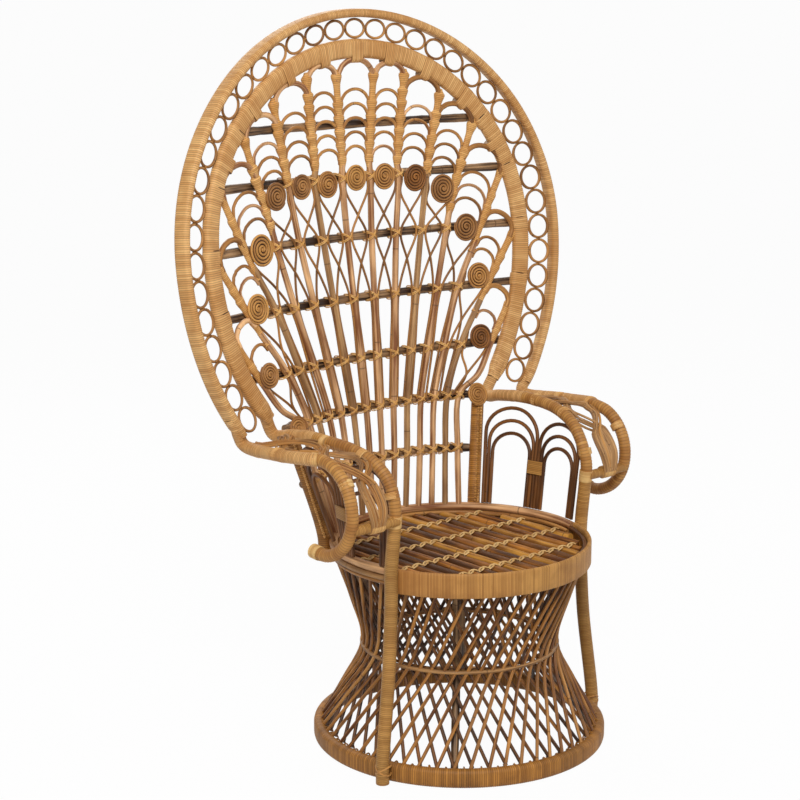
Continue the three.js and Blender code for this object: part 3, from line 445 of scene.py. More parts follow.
groups = {"wrap": splitWrapGroup(), "bare": bareCaneGroup()}
tones = {  # group, strength of its relief, pale, deep and warm tone, and what else is its own
    "wrapped": ("wrap", 0.6, "efbf7e b47c42 b87c3a", {"Groove shade": 0.66}),
    "rib": ("wrap", 0.6, "f0bc74 b87d3e c8893f", {"Pitch": 0.0038, "Groove shade": 0.66}),
    "leg": ("wrap", 0.6, "cf9a52 95622a 8f6a35", {"Pitch": 0.0036, "Groove shade": 0.66}),
    "beaded": ("wrap", 0.6, "d29c54 925b26 8f5a28", {"Pitch": 0.0062}),
    "apron": ("wrap", 0.6, "d8a056 8e5e2a 9c5f2a", {"Pitch": 0.0028, "Groove shade": 0.62}),
    "foot": ("wrap", 0.7, "cb8b3e 764818 6f4c22", {"Groove shade": 0.72}),
    "lashing": ("wrap", 0.4, "efc885 bd8746", {"Pitch": 0.0026, "Groove shade": 0.4}),
    "straw": ("bare", 0.3, "efc076 b57a32", {"Blotch": 0.4}),
    "rope": ("bare", 0.3, "e6c283 a97a3e", {"Joint gap": 0.9}),
    "cane": ("bare", 0.35, "cc9450 7f4f24", {}),
    "stake": ("bare", 0.35, "f0be88 7e4c28", {"Blotch": 0.7, "Joint gap": 0.31}),
    "greyed": ("bare", 0.35, "c89c68 805a36", {"Blotch": 0.7, "Joint gap": 0.27}),
    "ring": ("bare", 0.3, "c48c4c 6e4722", {"Joint gap": 0.31}),
    "thin": ("bare", 0.3, "b47c3e 653f1d", {"Joint gap": 0.22}),
    # a darker copy of the lattice finish for the inner layer: its tone paints the shade inside the base
    "latticeShade": ("bare", 0.3, "80522a 331e0e", {"Blotch": 0.8, "Joint gap": 0.29}),
    "lattice": ("bare", 0.3, "cf8f46 583010", {"Blotch": 0.8, "Joint gap": 0.27}),
    "dark": ("bare", 0.35, "8f5a28 482a12", {"Blotch": 0.7, "Joint gap": 0.33}),
    "slat": ("bare", 0.4, "cc8636 582f10", {"Blotch": 0.9, "Joint gap": 0.23}),
    "slatDark": ("bare", 0.4, "a0652c 47280f", {"Blotch": 0.9, "Joint gap": 0.29}),
    "slatGold": ("bare", 0.4, "e4a548 80501c", {"Blotch": 0.8, "Joint gap": 0.26}),
    "coilDark": ("bare", 0.35, "a2672c 55310f", {"Joint gap": 0.9}),
    "coilBrown": ("bare", 0.35, "b88248 6a421e", {"Joint gap": 0.9}),
    "coilGold": ("bare", 0.35, "d39c54 875728", {"Joint gap": 0.9}),
    # a near-black cane that paints the shade in gaps: behind a coil's turns and in the slit at a patch's tucked end
    "grooveShade": ("bare", 0.3, "4c2b10 241206", {"Joint gap": 0.9}),
    "bark": ("bare", 0.7, "c0966a 2f1c0f", {"Blotch": 0.8, "Joint gap": 0.17}),
    "weave": ("bare", 0.3, "d0a066 7c5530", {"Blotch": 0.6, "Joint gap": 0.5}),
    "pale": ("bare", 0.3, "bd8e58 6e4a28", {"Blotch": 0.6}),
}
surface = {"specular": 0.3, "relief": 0.0006}
finishes = {}
for name, (group, bump, codes, values) in tones.items():
    finish = bpy.data.materials.new(name + "Cane")
    finish.use_nodes = True
    t = Tree(finish.node_tree)
    shader = finish.node_tree.nodes["Principled BSDF"]
    body = t.add("ShaderNodeGroup", node_tree=groups[group])
    for key, code in zip(("Pale", "Deep", "Warm"), codes.split()):
        body.inputs[key].default_value = tint(code)
    for key, value in values.items():
        body.inputs[key].default_value = value
    uv = t.add("ShaderNodeUVMap", uv_map="UVMap")
    spot = t.add("ShaderNodeTexCoord")
    t.feed(uv.outputs[0], body, "Run")
    t.feed(spot.outputs["Object"], body, "Place")
    relief = t.add("ShaderNodeBump", Strength=bump, Distance=surface["relief"])
    t.feed(body.outputs["Height"], relief, "Height")
    t.feed(relief.outputs[0], shader, "Normal")
    t.feed(body.outputs["Color"], shader, "Base Color")
    t.feed(body.outputs["Rough"], shader, "Roughness")
    shader.inputs["Specular IOR Level"].default_value = surface["specular"]
    finishes[name] = finish
print("finishes ready")


baseSizes = {"radius": 0.298, "height": 0.038, "thick": 0.022, "waist": 0.203, "waistLevel": 0.2, "waistCane": 0.008,
             "innerWaist": 0.182, "innerCane": 0.006,
             "splice": (0.42, 1.435), "spliceFrom": 112, "spliceRise": 0.0045,
             "tieLoop": 0.0062, "tieCane": 0.0034, "tieRadius": 0.2775, "tieShift": 0.0025, "tieLag": 0.42}


def circlePath(radius, level, steps, start=0.0, end=1.0):
    return np.array([onCircle(radius, start + (end - start) * i / steps, level) for i in range(steps + 1)])


def buildBaseRing():
    s = baseSizes
    path = circlePath(s["radius"] - s["thick"] / 2, s["height"] / 2, 720)
    outline = flatOutline(s["thick"], s["height"], corner=0.42)
    ring = wrapCane("baseRing", path, outwardFacing, outline, "foot", 0.022, closed=True)
    loop = loopPath(s["tieLoop"], s["tieLoop"], 0, 11)
    tie = rollCane("tie", loop, upFacing, roundOutline(s["tieCane"], 5), "foot", closed=True)
    ties = []
    for i in range(2 * latticeSizes["canes"]):
        turn = (i // 2 + 0.5 + (s["tieLag"] if i % 2 else 0)) / latticeSizes["canes"]
        radius = s["tieRadius"] + (s["tieShift"] if i % 2 else -s["tieShift"])
        spot = onCircle(radius, turn, s["height"] - s["tieLoop"] + random.uniform(-0.001, 0.001))
        ties.append(copyPiece(tie, standAt(spot, onCircle(1, turn, 0) - onCircle(0, turn, 0),
                                           (0.3 * random.uniform(-1, 1), 0.2, 1))))
    dropPiece(tie)
    settle(joinPieces("baseRing", [ring] + ties), "wrapped_cane", "base_ring")


latticeSizes = {"canes": 52, "cane": 0.0072, "turn": 0.058, "top": 0.3874, "nearWaist": 0.87, "sunk": 0.004,
                "hoop": 0.008, "hoopDrop": 0.003, "uneven": 0.06, "otherShare": 0.4,
                "outer": (0.2525, 0.1932, 0.281), "inner": (0.2438, 0.1868, 0.2746),
                "others": {1: ("thin", "lattice", "cane"), -1: ("dark", "lattice", "latticeShade")}}


def buildLattice():
    s = latticeSizes
    waist = baseSizes["waistLevel"]
    near = s["nearWaist"]
    axis = Matrix.Translation((0, midY, 0))
    # the inner layer's darker finishes paint the shade inside the base, under the seat
    for name, node, radii, hand, finish in (("latticeOuter", "lattice_outer", s["outer"], 1, "lattice"),
                                            ("latticeInner", "lattice_inner", s["inner"], -1, "latticeShade")):
        top = onCircle(radii[0], 0, s["top"])
        middle = onCircle(radii[1], hand * s["turn"], waist)
        foot = onCircle(radii[2], 2 * hand * s["turn"], baseSizes["height"] - s["sunk"])
        path = roundPath([top, top * 0.5 + middle * 0.5, top * (1 - near) + middle * near,
                          middle * near + foot * (1 - near), middle * 0.5 + foot * 0.5, foot], 5)
        first = rollCane("latticeCane", path, outwardFacing, roundOutline(s["cane"], 8), finish)
        canes = []
        for i in range(s["canes"]):
            share = (i + 0.5 + random.uniform(-s["uneven"], s["uneven"])) / s["canes"]
            turned = Matrix.Rotation(-fullTurn * share, 4, "Z")
            canes.append(copyPiece(first, axis @ turned @ axis.inverted()))
            if random.random() < s["otherShare"]:
                canes[-1].data.materials[0] = finishes[random.choice(s["others"][hand])]
        dropPiece(first)
        hoop = circlePath(radii[0], s["top"] - s["hoopDrop"], 96)
        canes.append(rollCane("latticeHoop", hoop, outwardFacing, roundOutline(s["hoop"], 8), "dark", closed=True))
        settle(joinPieces(name, canes), "dark_cane", node)


def buildWaistHoop():
    s = baseSizes
    level = s["waistLevel"]
    hoop = circlePath(s["waist"] - s["waistCane"] / 2, level, 120, *s["splice"])  # its ends overlap in a splice
    for i in range(s["spliceFrom"], len(hoop)):
        hoop[i][2] += s["spliceRise"] * smooth((i - s["spliceFrom"]) / 8)
    hoops = [rollCane("waistHoop", hoop, outwardFacing, roundOutline(s["waistCane"], 10), "pale"),
             rollCane("waistHoop", circlePath(s["innerWaist"], level, 96), outwardFacing,
                      roundOutline(s["innerCane"], 8), "thin", closed=True)]
    settle(joinPieces("waistHoop", hoops), "plain_cane", "waist_hoop")


innerLegSizes = {"pole": 0.016, "straight": 0.02, "foot": 0.2676, "waist": 0.17, "top": 0.225, "knobs": 0.05}


def buildInnerLegs():
    s = innerLegSizes
    for i in range(4):
        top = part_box(f"inner_leg_{i + 1}")[1].z
        turn = (i + 0.5) / 4
        path = roundPath([onCircle(s["foot"], turn, 0.0), onCircle(s["foot"], turn, s["straight"]),
                          onCircle(s["waist"], turn, baseSizes["waistLevel"]), onCircle(s["top"], turn, top)], 10)
        swell = [1 + s["knobs"] * math.sin(k * 0.9) + random.uniform(-0.03, 0.03) for k in range(len(path))]
        leg = rollCane(f"innerLeg{i + 1}", path, outwardFacing, roundOutline(s["pole"], 12), "bark", swell)
        settle(leg, "bark_pole", f"inner_leg_{i + 1}")


def upFacing(p):
    return np.array([0, 0, 1.0])


print("base ring, lattice and hidden poles")
buildBaseRing()
buildLattice()
buildWaistHoop()
buildInnerLegs()

seatSizes = {"slats": 17, "slat": 0.0165, "slatLevel": 0.395, "deck": 0.2461, "overlap": 0.004, "wander": 0.0012,
             "legTurn": 0.3014, "legGap": 0.0008, "rows": [-0.155, -0.055, 0.045, 0.145], "rowGap": 0.006,
             "lash": 0.0036, "lashSpread": 0.24, "lashSwing": 0.0038, "lashDip": 0.0055,
             "bar": 0.009, "barDrop": 0.004,
             "tones": ("slat", "slatDark", "slatGold", "slat", "slatDark"),
             "hoops": [(0, 0.009, 0.018, "stake"), (0.002, 0.0235, 0.0125, "pale"),
                       (-0.0115, 0.019, 0.009, "cane"), (-0.001, 0.0335, 0.009, "thin")]}


def buildSeatRim():
    legTurn = seatSizes["legTurn"] - seatSizes["legGap"]
    canes = []
    for outward, drop, size, finish in seatSizes["hoops"]:
        path = circlePath(stakeRadius + outward, seat["level"] - drop, 130, -legTurn, legTurn)
        swell = [1 + 0.02 * math.sin(i * 0.37) + random.uniform(-0.008, 0.008) for i in range(len(path))]
        canes.append(rollCane("rimHoop", path, outwardFacing, roundOutline(size, 12), finish, swell))
    settle(joinPieces("seatRim", canes), "dark_cane", "seat_rim")


apronSizes = {"lip": 0.004, "hoop": 0.0095, "hoopInset": 0.0128, "hoopDrop": 0.0125,
              "front": [(-0.0035, 0.0), (-0.0014, -0.0012), (0, -0.0042), (0, -0.012), (0, -0.024), (0, -0.036)],
              "back": [(-0.0078, -0.03), (-0.0082, -0.012), (-0.0082, -0.0045), (-0.0066, -0.001)],
              "low": [(0, 0.0035), (-0.0015, 0.0005), (-0.0045, 0), (-0.0065, 0.002), (-0.0075, 0.006)]}


def buildApron():
    s = apronSizes
    reach = 0.5 - seatSizes["legTurn"] - seatSizes["legGap"]
    h = seat["apron"]
    outline = s["front"] + [(a, b - h) for a, b in s["low"]] + s["back"]
    outline = [(a + s["lip"], b + h / 2) for a, b in outline]
    path = circlePath(seat["radius"] - s["lip"], seat["level"] - h / 2, 200, 0.5 - reach, 0.5 + reach)
    apron = wrapCane("seatApron", path, outwardFacing, outline, "apron", 0.016)
    path = circlePath(seat["radius"] - s["hoopInset"], seat["level"] - s["hoopDrop"], 90, 0.5 - reach, 0.5 + reach)
    hoop = rollCane("apronHoop", path, outwardFacing, roundOutline(s["hoop"], 8), "dark")
    settle(joinPieces("seatApron", [apron, hoop]), "wrapped_cane", "seat_apron")


def buildDeck():
    s = seatSizes
    pitch = 2 * s["deck"] / (s["slats"] + 1)
    pieces = []
    for i in range(s["slats"]):
        x = (i - (s["slats"] - 1) / 2) * pitch
        reach = math.sqrt(s["deck"] ** 2 - (abs(x) + s["slat"] / 2) ** 2) + s["overlap"]
        path = [(x + s["wander"] * math.sin(k * 0.35 + i), midY - reach + 2 * reach * k / 24, s["slatLevel"])
                for k in range(25)]
        swell = [1 + 0.035 * math.sin(k * 0.55 + i * 2.1) + random.uniform(-0.02, 0.02) for k in range(25)]
        finish = s["tones"][(i * 3 + i // 4) % 5]
        pieces.append(rollCane("slat", path, upFacing, roundOutline(s["slat"], 12), finish, swell))
    top = s["slatLevel"] + s["slat"] / 2 + s["lash"] / 2 - 0.0004
    low = s["slatLevel"] - s["slat"] / 2 - s["barDrop"]
    spread, swing = pitch * s["lashSpread"], s["lashSwing"]
    for row in s["rows"]:
        y = midY + row
        wide = math.sqrt(s["deck"] ** 2 - row * row) - s["rowGap"]
        count = int(wide // pitch)
        under = [(x, y, low) for x in (-wide, -wide / 2, 0, wide / 2, wide)]
        pieces.append(rollCane("deckBar", under, upFacing, roundOutline(s["bar"], 8), "pale"))
        for hand in (1, -1):  # two ropes cross over every slat and between the slats
            path = []
            for k in range(-count, count + 1):
                x = k * pitch
                path += [(x - spread, y + hand * swing, top - 0.0012),
                         (x, y - hand * 0.0006, top + 0.0004 + 0.001 * hand),
                         (x + spread, y - hand * swing, top - 0.0012),
                         (x + pitch * 0.5, y + hand * 0.001, top - s["lashDip"])]
            path = roundPath(path[:-1], 4)
            pieces.append(rollCane("deckLash", path, upFacing, roundOutline(s["lash"] * 1.3, 6, 0.7), "rope"))
    settle(joinPieces("seatDeck", pieces), "dark_cane", "seat_deck")


print("seat rim, apron and slats")
buildSeatRim()
buildApron()
buildDeck()


rimShape = {"spots": 500, "end": 0.74, "endLength": 0.03, "ridge": 0.045}
patchSizes = {"long": 0.027, "hang": 0.009, "barHang": 0.2, "thicker": 0.0016, "wider": 0.001, "meanRadius": 0.42,
              "end": 0.972, "endLength": 0.005, "splice": 0.0019, "proud": 0.0004,
              "spliceShares": (-0.12, 0.0, 0.12, 0.24, 0.33), "spliceSwell": [0.6, 1, 1, 1, 0.5]}


def bandPatches(crowns):  # extra turns bind the arcs' crowns and the bars' ends to the band
    s = patchSizes
    inset = bandEdge - oval["bandWidth"] / 2
    turns = [(ovalAngle(x, z, bandEdge) / fullTurn, 1) for x, z in crowns]
    for level in bars["levels"][3:]:
        turn = math.acos((level - oval["level"]) / (ovalTall(level > oval["level"]) - inset)) / fullTurn
        turns += [(turn, s["barHang"]), (-turn, s["barHang"])]
    pieces = []
    for turn, hang in turns:
        reach = s["long"] * random.uniform(0.85, 1.15) / (fullTurn * s["meanRadius"])
        outline = flatOutline(oval["bandDepth"] + s["thicker"], oval["bandWidth"] + s["wider"] + s["hang"] * hang,
                              corner=0.47, steps=5)
        path = [onSheet(*ovalAt(turn + reach * k / 12 - reach / 2, inset + s["hang"] * hang / 2)) for k in range(13)]
        swell = narrowEnds(path, s["end"], s["endLength"])
        pieces.append(wrapCane("patch", path, sheetFacing, outline, ridge=0.02, swell=swell))
        if hang < 1:  # the last turn's end is tucked in, and a dark cane along it paints the shade of the slit
            edge = turn - math.copysign(reach / 2, turn)
            line = [onSheet(*ovalAt(edge, inset + share * oval["bandWidth"]), -oval["bandDepth"] / 2 - s["proud"])
                    for share in s["spliceShares"]]
            pieces.append(rollCane("splice", line, sheetFacing, roundOutline(s["splice"], 6), "grooveShade",
                                   s["spliceSwell"]))
    return pieces


def buildOvalRims(crowns):
    s = rimShape
    for name, node, inset, end, outline in (
            ("outerRim", "outer_rim", oval["rimWidth"] / 2, oval["rimEnd"],
             flatOutline(oval["rimDepth"], oval["rimWidth"], corner=0.48, steps=4)),
            ("innerBand", "inner_rim", bandEdge - oval["bandWidth"] / 2, oval["bandEnd"],
             flatOutline(oval["bandDepth"], oval["bandWidth"], corner=0.45, steps=4))):
        turns, _ = evenTurns(inset, end, s["spots"])
        path = np.array([onSheet(*ovalAt(t, inset)) for t in turns])
        swell = narrowEnds(path, s["end"], s["endLength"])
        whole = [wrapCane(name, path, sheetFacing, outline, ridge=s["ridge"], swell=swell)]
        if name == "innerBand":
            whole += bandPatches(crowns)
        settle(joinPieces(name, whole), "wrapped_cane", node)


ringSizes = {"count": 39, "end": 0.354, "cane": 0.0056, "play": 0.0013, "shift": 0.00045, "tilt": 0.05,
             "wider": 0.0006, "taller": 0.0008, "sideShare": 0.55,
             "tie": (0.0037, 0.0038, 0.001), "tieCane": 0.0019, "tieShift": 0.0012}


def backFacing(p):
    return np.array([0, 1.0, 0])


def buildRings():
    s = ringSizes
    inset = oval["rimWidth"] + oval["ringGap"] / 2 + s["shift"]
    turns, pitch = evenTurns(inset, s["end"], s["count"])
    wide = pitch / 2 - s["cane"] / 2 + s["wider"]
    tall = oval["ringGap"] / 2 - s["play"] - s["cane"] / 2 + s["taller"]
    first = rollCane("ring", loopPath(wide, 0, tall, 29), backFacing, roundOutline(s["cane"], 8), "ring", closed=True)
    firstTie = rollCane("tie", loopPath(*s["tie"], 13), upFacing, roundOutline(s["tieCane"], 5), "thin", closed=True)
    pieces = []
    for k, turn in enumerate(turns):
        x, z = ovalAt(turn, inset)
        along = onSheet(*ovalAt(turn + 0.002, inset)) - onSheet(*ovalAt(turn - 0.002, inset))
        normal = sheetNormal(x, z)
        wobble = Matrix.Rotation(random.uniform(-s["tilt"], s["tilt"]), 4, "Y")
        taller = 1 + s["sideShare"] * oval["sideGrowth"] / tall * math.sin(turn * fullTurn) ** 2
        stretch = Matrix.Scale(taller, 4, (0, 0, 1))
        pieces.append(copyPiece(first, standAt(onSheet(x, z), along, normal) @ wobble @ stretch))
        if k < len(turns) - 1:
            x, z = ovalAt((turn + turns[k + 1]) / 2, inset)
            up = np.cross(along / np.linalg.norm(along), normal)
            for shift in (-s["tieShift"], s["tieShift"]):
                pieces.append(copyPiece(firstTie, standAt(onSheet(x, z) + up * shift, along, normal)))
    dropPiece(first)
    dropPiece(firstTie)
    settle(joinPieces("ringChain", pieces), "plain_cane", "ring_chain")


def stakePlace(index, level):
    levels = bars["levels"]
    step, last = index + 0.5, 6.5
    easing = 1 - smooth((level - levels[1]) / (levels[4] - levels[1]))
    squeeze = 1 - fan["squeeze"] * (step / last) ** 2 * easing
    return step * (fan["pitch"] + fan["rate"] * (level - levels[0])) * squeeze


def ribSpot(share):
    return share[0] * oval["halfWidth"], oval["level"] + share[1] * oval["rise"]


def columnLine(index):  # from the seat up the stake and the rib to the band, as x and height
    seatX = stakeRadius * math.sin(fan["turn"] * (index + 0.5) * fullTurn)
    foot, top = ribSpot(fan["feet"][index]), ribSpot(fan["tops"][index])
    lowX = (seatX + stakePlace(index, bars["levels"][1])) / 2
    line = [(seatX, seat["level"] - fan["sunk"]), (lowX, bars["levels"][0])]
    line += [(stakePlace(index, level), level) for level in bars["levels"][1:] if level < foot[1] - fan["stake"]]
    line.append(foot)
    reach = math.dist(foot, top)
    way = ((top[0] - foot[0]) / reach, (top[1] - foot[1]) / reach)
    while not insideOval(foot[0] + way[0] * reach, foot[1] + way[1] * reach, bandEdge - fan["intoBand"]):
        reach -= 0.0005
    line.append((foot[0] + way[0] * reach, foot[1] + way[1] * reach))
    return line


def mirrored(line, side):
    return [(x * side, z) for x, z in line]


def columnAt(line, level):
    for (x0, z0), (x1, z1) in zip(line, line[1:]):
        if level <= z1 or (x1, z1) == line[-1]:
            return x0 + (x1 - x0) * (level - z0) / (z1 - z0)
    return line[0][0]


arcSizes = {"cane": 0.0068, "thick": 0.0115, "first": 0.062, "step": 0.029, "lastStep": 0.06, "rise": 0.8,
            "crownHalf": 0.008, "crownGap": 0.001, "thickInset": 0.0035, "footLength": 0.009, "footSpread": 1.03,
            "forward": 0.002, "tones": ["cane", "cane", "thin", "stake"],
            "counts": [6, 6, 5, 4, 4, 3, 2], "coils": [1.119, 1.115, 1.108, 1.084, 0.995, 0.887, 0.757]}


class Bay:  # the space between two columns; its axis runs outward from its coil
    def __init__(self, left, right, level):
        self.lines = (left, right)
        above = level + arcSizes["first"] + arcSizes["step"]
        self.centre = ((columnAt(left, level) + columnAt(right, level)) / 2, level)
        ahead = ((columnAt(left, above) + columnAt(right, above)) / 2, above)
        length = math.dist(self.centre, ahead)
        self.axis = ((ahead[0] - self.centre[0]) / length, (ahead[1] - self.centre[1]) / length)
        self.across = (self.axis[1], -self.axis[0])

    def point(self, p, q):
        return (self.centre[0] + self.axis[0] * p + self.across[0] * q,
                self.centre[1] + self.axis[1] * p + self.across[1] * q)

    def columnAcross(self, line, p):
        def along(spot):
            return (spot[0] - self.centre[0]) * self.axis[0] + (spot[1] - self.centre[1]) * self.axis[1] - p

        def across(spot):
            return (spot[0] - self.centre[0]) * self.across[0] + (spot[1] - self.centre[1]) * self.across[1]
        low, high = line[-2], line[-1]
        for a, b in zip(line, line[1:]):
            if along(a) <= 0 <= along(b):
                low, high = a, b
        part = along(low) / (along(low) - along(high))
        return across(low) + (across(high) - across(low)) * part

    def bandReach(self):
        p = arcSizes["first"]
        while all(insideOval(*self.point(p, hand * arcSizes["crownHalf"]), bandEdge) for hand in (-1, 1)):
            p += 0.0005
        return p - arcSizes["crownGap"]

    def arc(self, peak, size, steps=18):
        s = arcSizes
        left, right = self.lines
        width = abs(self.columnAcross(left, peak)) + abs(self.columnAcross(right, peak))
        foot = peak - (width / 2 - fan["rib"] / 2) * s["rise"]
        inset = s["thickInset"] if size == s["thick"] else fan["rib"] / 2 - size * 0.05
        ends = []
        for line in (left, right):
            q = self.columnAcross(line, foot)
            ends.append(q - math.copysign(inset, q))
        middle, half = (ends[0] + ends[1]) / 2, (ends[0] - ends[1]) / 2
        low, wide = foot - s["footLength"], half * s["footSpread"]
        bend = [math.pi * i / steps for i in range(steps + 1)]
        places = [(foot + (peak - foot) * math.sin(a), middle + half * math.cos(a)) for a in bend]
        return [self.point(p, q) for p, q in [(low, middle + wide)] + places + [(low, middle - wide)]]


crossingSizes = {"cane": 0.0052, "beside": 0.0022, "away": 0.0032, "drop": 0.029, "lift": 0.02, "layer": 0.003}


def crossingPath(bay, own, other, coilLevel, layer):
    # A thin cane leaves its own stake beside the coil, swings to the other stake and runs down
    s = crossingSizes
    side = math.copysign(1, columnAt(own, coilLevel) - bay.centre[0])
    beside, away = fan["stake"] / 2 + s["beside"], fan["stake"] / 2 + s["away"]
    under = coilLevel - s["drop"]

    def nextOwn(level, gap, lift=0):
        return onSheet(columnAt(own, level) - side * gap, level, lift)

    def nextOther(level):
        return onSheet(columnAt(other, level) + side * away, level, layer)

    def midway(level):
        return onSheet((columnAt(own, level) + columnAt(other, level)) / 2, level, layer)
    below = [level for level in bars["levels"] if level < under - fan["stake"]]
    target = below[-1]
    points = [nextOwn(coilLevel + s["lift"], 0.003), nextOwn(coilLevel, beside, -0.001), nextOwn(under, away, layer),
              midway((under + target) / 2), nextOther(target)]
    if target > bars["levels"][3]:
        onward = below[-2]
        points += [midway((target + onward) / 2), nextOwn(onward, away)]
        points += [nextOwn(level, away) for level in reversed(below) if bars["levels"][1] <= level < onward]
    else:
        points += [nextOther(level) for level in reversed(below) if bars["levels"][1] <= level < target]
    return points


ribShape = {"flat": 0.74, "foot": 0.86, "flare": 0.66, "above": 0.004, "below": 0.0135, "tip": 0.012, "near": 0.0155,
            "outer": 4, "slender": 0.5, "reach": 0.03, "lastFoot": 0.045, "lift": 0.002, "lead": 0.02, "least": 0.012,
            "ridge": 0.05, "spots": 40, "footLength": 0.06, "tipLength": 0.008, "tipWidth": 0.62, "intoBand": 0.004,
            "knobs": 0.03}


def boundMarks(feet, footSpot, way):  # how far up the rib the arcs' feet are bound, near ones together
    marks = []
    for mark in sorted(float(np.dot(np.array(foot) - footSpot, way)) for foot in feet):
        if marks and mark - marks[-1] < ribShape["near"]:
            marks[-1] = (marks[-1] + mark) / 2 + 0.001
        else:
            marks.append(mark)
    return marks


def buildColumn(side, i, line, feet):
    # The stake below, and on it the wrapped rib, which swells where the arcs' feet are bound in
    s = ribShape
    footSpot, topSpot = np.array(line[-2]), np.array(line[-1])
    way = (topSpot - footSpot) / np.linalg.norm(topSpot - footSpot)
    marks = boundMarks(feet, footSpot, way)
    start = max(min(-s["least"], marks[0] - s["lead"]), -s["reach"])
    spots = list(line[:-1])
    if i == 6:  # the lowest bay's stake runs on a little under its short rib
        start = marks[0] - s["lastFoot"]
        spots.append(footSpot + way * (max(start, 0) + 0.01))
    path = roundPath([onSheet(*spot) for spot in spots], 6)
    swell = [1 + s["knobs"] * math.sin(k * 0.45 + i * 1.7 + side) + random.uniform(-0.012, 0.012)
             for k in range(len(path))]
    finish = ("stake", "stake", "greyed")[(i * 2 + (side > 0)) % 3]
    stake = rollCane("stake", path, sheetFacing, roundOutline(fan["stake"], 10), finish, swell)
    lower = np.array(line[-3]) - footSpot
    lower /= np.linalg.norm(lower)
    strength = s["flare"] * (s["slender"] if i >= s["outer"] else 1)
    end = marks[-1] + s["tip"] + s["lift"]
    while not insideOval(*(footSpot + way * end), bandEdge - s["intoBand"]):
        end -= 0.0005

    def flare(p):
        up = float(np.dot(np.array([p[0], p[2]]) - footSpot, way))
        wide = 0.0
        for mark in marks:
            off = up - mark - s["lift"]
            wide = max(wide, math.exp(-(off / (s["above"] if off > 0 else s["below"])) ** 2))
        rise = s["foot"] + (1 - s["foot"]) * smooth(up / s["footLength"])
        tip = s["tipWidth"] + (1 - s["tipWidth"]) * smooth((end - up) / s["tipLength"])
        return rise * (1 + strength * wide) * tip
    reach = [start + (end - start) * k / s["spots"] for k in range(s["spots"] + 1)]
    path = [onSheet(*(footSpot + way * k if k > 0 else footSpot - lower * k)) for k in reach]
    outline = roundOutline(fan["rib"], 12, s["flat"])
    return [stake, wrapCane("rib", path, sheetFacing, outline, "rib", s["ridge"], flare)]


def buildArcs(bays, pieces):  # gives back where the arcs' feet and the crowns stand
    s = arcSizes
    feet = {key: [] for key in pieces}
    crowns = []
    for (side, i), bay in bays.items():
        count = s["counts"][i]
        peaks = [(s["first"] + k * s["step"], s["cane"]) for k in range(count - 1)]
        last = s["first"] + (count - 2) * s["step"] + s["lastStep"]
        peaks.append((min(bay.bandReach(), last), s["thick"]))
        if peaks[-1][0] < last or i < 5:
            crowns.append(bay.point(peaks[-1][0], 0))
        holder = (side, max(i - 1, 0))  # the column whose node holds this bay's arcs
        for peak, size in peaks:
            spots = bay.arc(peak, size)
            lift = -s["forward"] if size == s["thick"] else 0.0
            path = [onSheet(x, z, lift + random.uniform(-0.0008, 0.0008)) for x, z in spots]
            finish = random.choice(s["tones"])
            pieces[holder].append(rollCane("arc", path, sheetFacing, roundOutline(size, 8), finish))
            feet[innerColumn(side, i)].append(spots[1])
            feet[side, i].append(spots[-2])
    return feet, crowns


def innerColumn(side, i):  # the column on the inner side of a bay
    return (-1, 0) if i == 0 else (side, i - 1)


def buildFan():
    lines = [columnLine(i) for i in range(7)]
    columns = {(side, i): mirrored(lines[i], side) for side in hands for i in range(7)}
    bays = {(1, 0): Bay(columns[-1, 0], columns[1, 0], arcSizes["coils"][0])}
    for side in hands:
        for i in range(1, 7):
            bays[side, i] = Bay(columns[side, i - 1], columns[side, i], arcSizes["coils"][i])
    pieces = {key: [] for key in columns}
    feet, crowns = buildArcs(bays, pieces)
    for (side, i), line in columns.items():
        pieces[side, i] += buildColumn(side, i, line, feet[side, i])
    outline = roundOutline(crossingSizes["cane"], 8)
    for (side, i), bay in bays.items():
        inner, layer = innerColumn(side, i), side * crossingSizes["layer"]
        for own, other, lift in ((inner, (side, i), layer), ((side, i), inner, -layer)):
            path = crossingPath(bay, columns[own], columns[other], arcSizes["coils"][i], lift)
            pieces[own].append(rollCane("crossing", roundPath(path, 8), sheetFacing, outline, "thin"))
    for (side, i), parts in pieces.items():
        settle(joinPieces(f"column_{hands[side]}_{i + 1}", parts), "wrapped_cane", f"column_{hands[side]}_{i + 1}")
    return columns, crowns


# the coil's thin, set-back, shorter dark second cane paints the shade between its turns
coilSizes = {"cane": 0.0053, "shadeCane": 0.0052, "post": 0.0285, "turns": 4.7, "steps": 28, "proud": 0.0085,
             "dish": 0.003, "tuck": 0.0022, "tuckSteps": 9, "closer": 0.96, "shadeCaneBack": 0.0004, "shadeCaneShort": 8,
             "plug": 0.0052, "plugDepths": (-0.0042, 0.003), "plugSwell": [1, 2.2], "postBack": 0.003}
coilTable = {  # across, up, radius and finish of each coil, counted from the middle one
    (1, 0): (-0.007, -0.001, 0.0305, "coilGold"), (1, 1): (-0.007, 0.001, 0.031, "cane"),
    (1, 2): (0.001, 0.0, 0.0325, "coilDark"), (1, 3): (0.003, -0.004, 0.0345, "coilBrown"),
    (1, 4): (0.0, 0.0, 0.0335, "coilBrown"), (1, 5): (0.0, 0.0, 0.032, "cane"), (1, 6): (0.0, 0.0, 0.031, "coilDark"),
    (-1, 1): (-0.01, -0.007, 0.031, "cane"), (-1, 2): (-0.008, 0.002, 0.0295, "coilBrown"),
    (-1, 3): (-0.006, 0.012, 0.032, "coilBrown"), (-1, 4): (-0.006, 0.001, 0.0365, "coilGold"),
    (-1, 5): (-0.014, -0.004, 0.034, "coilGold"), (-1, 6): (-0.016, -0.005, 0.0295, "coilBrown")}


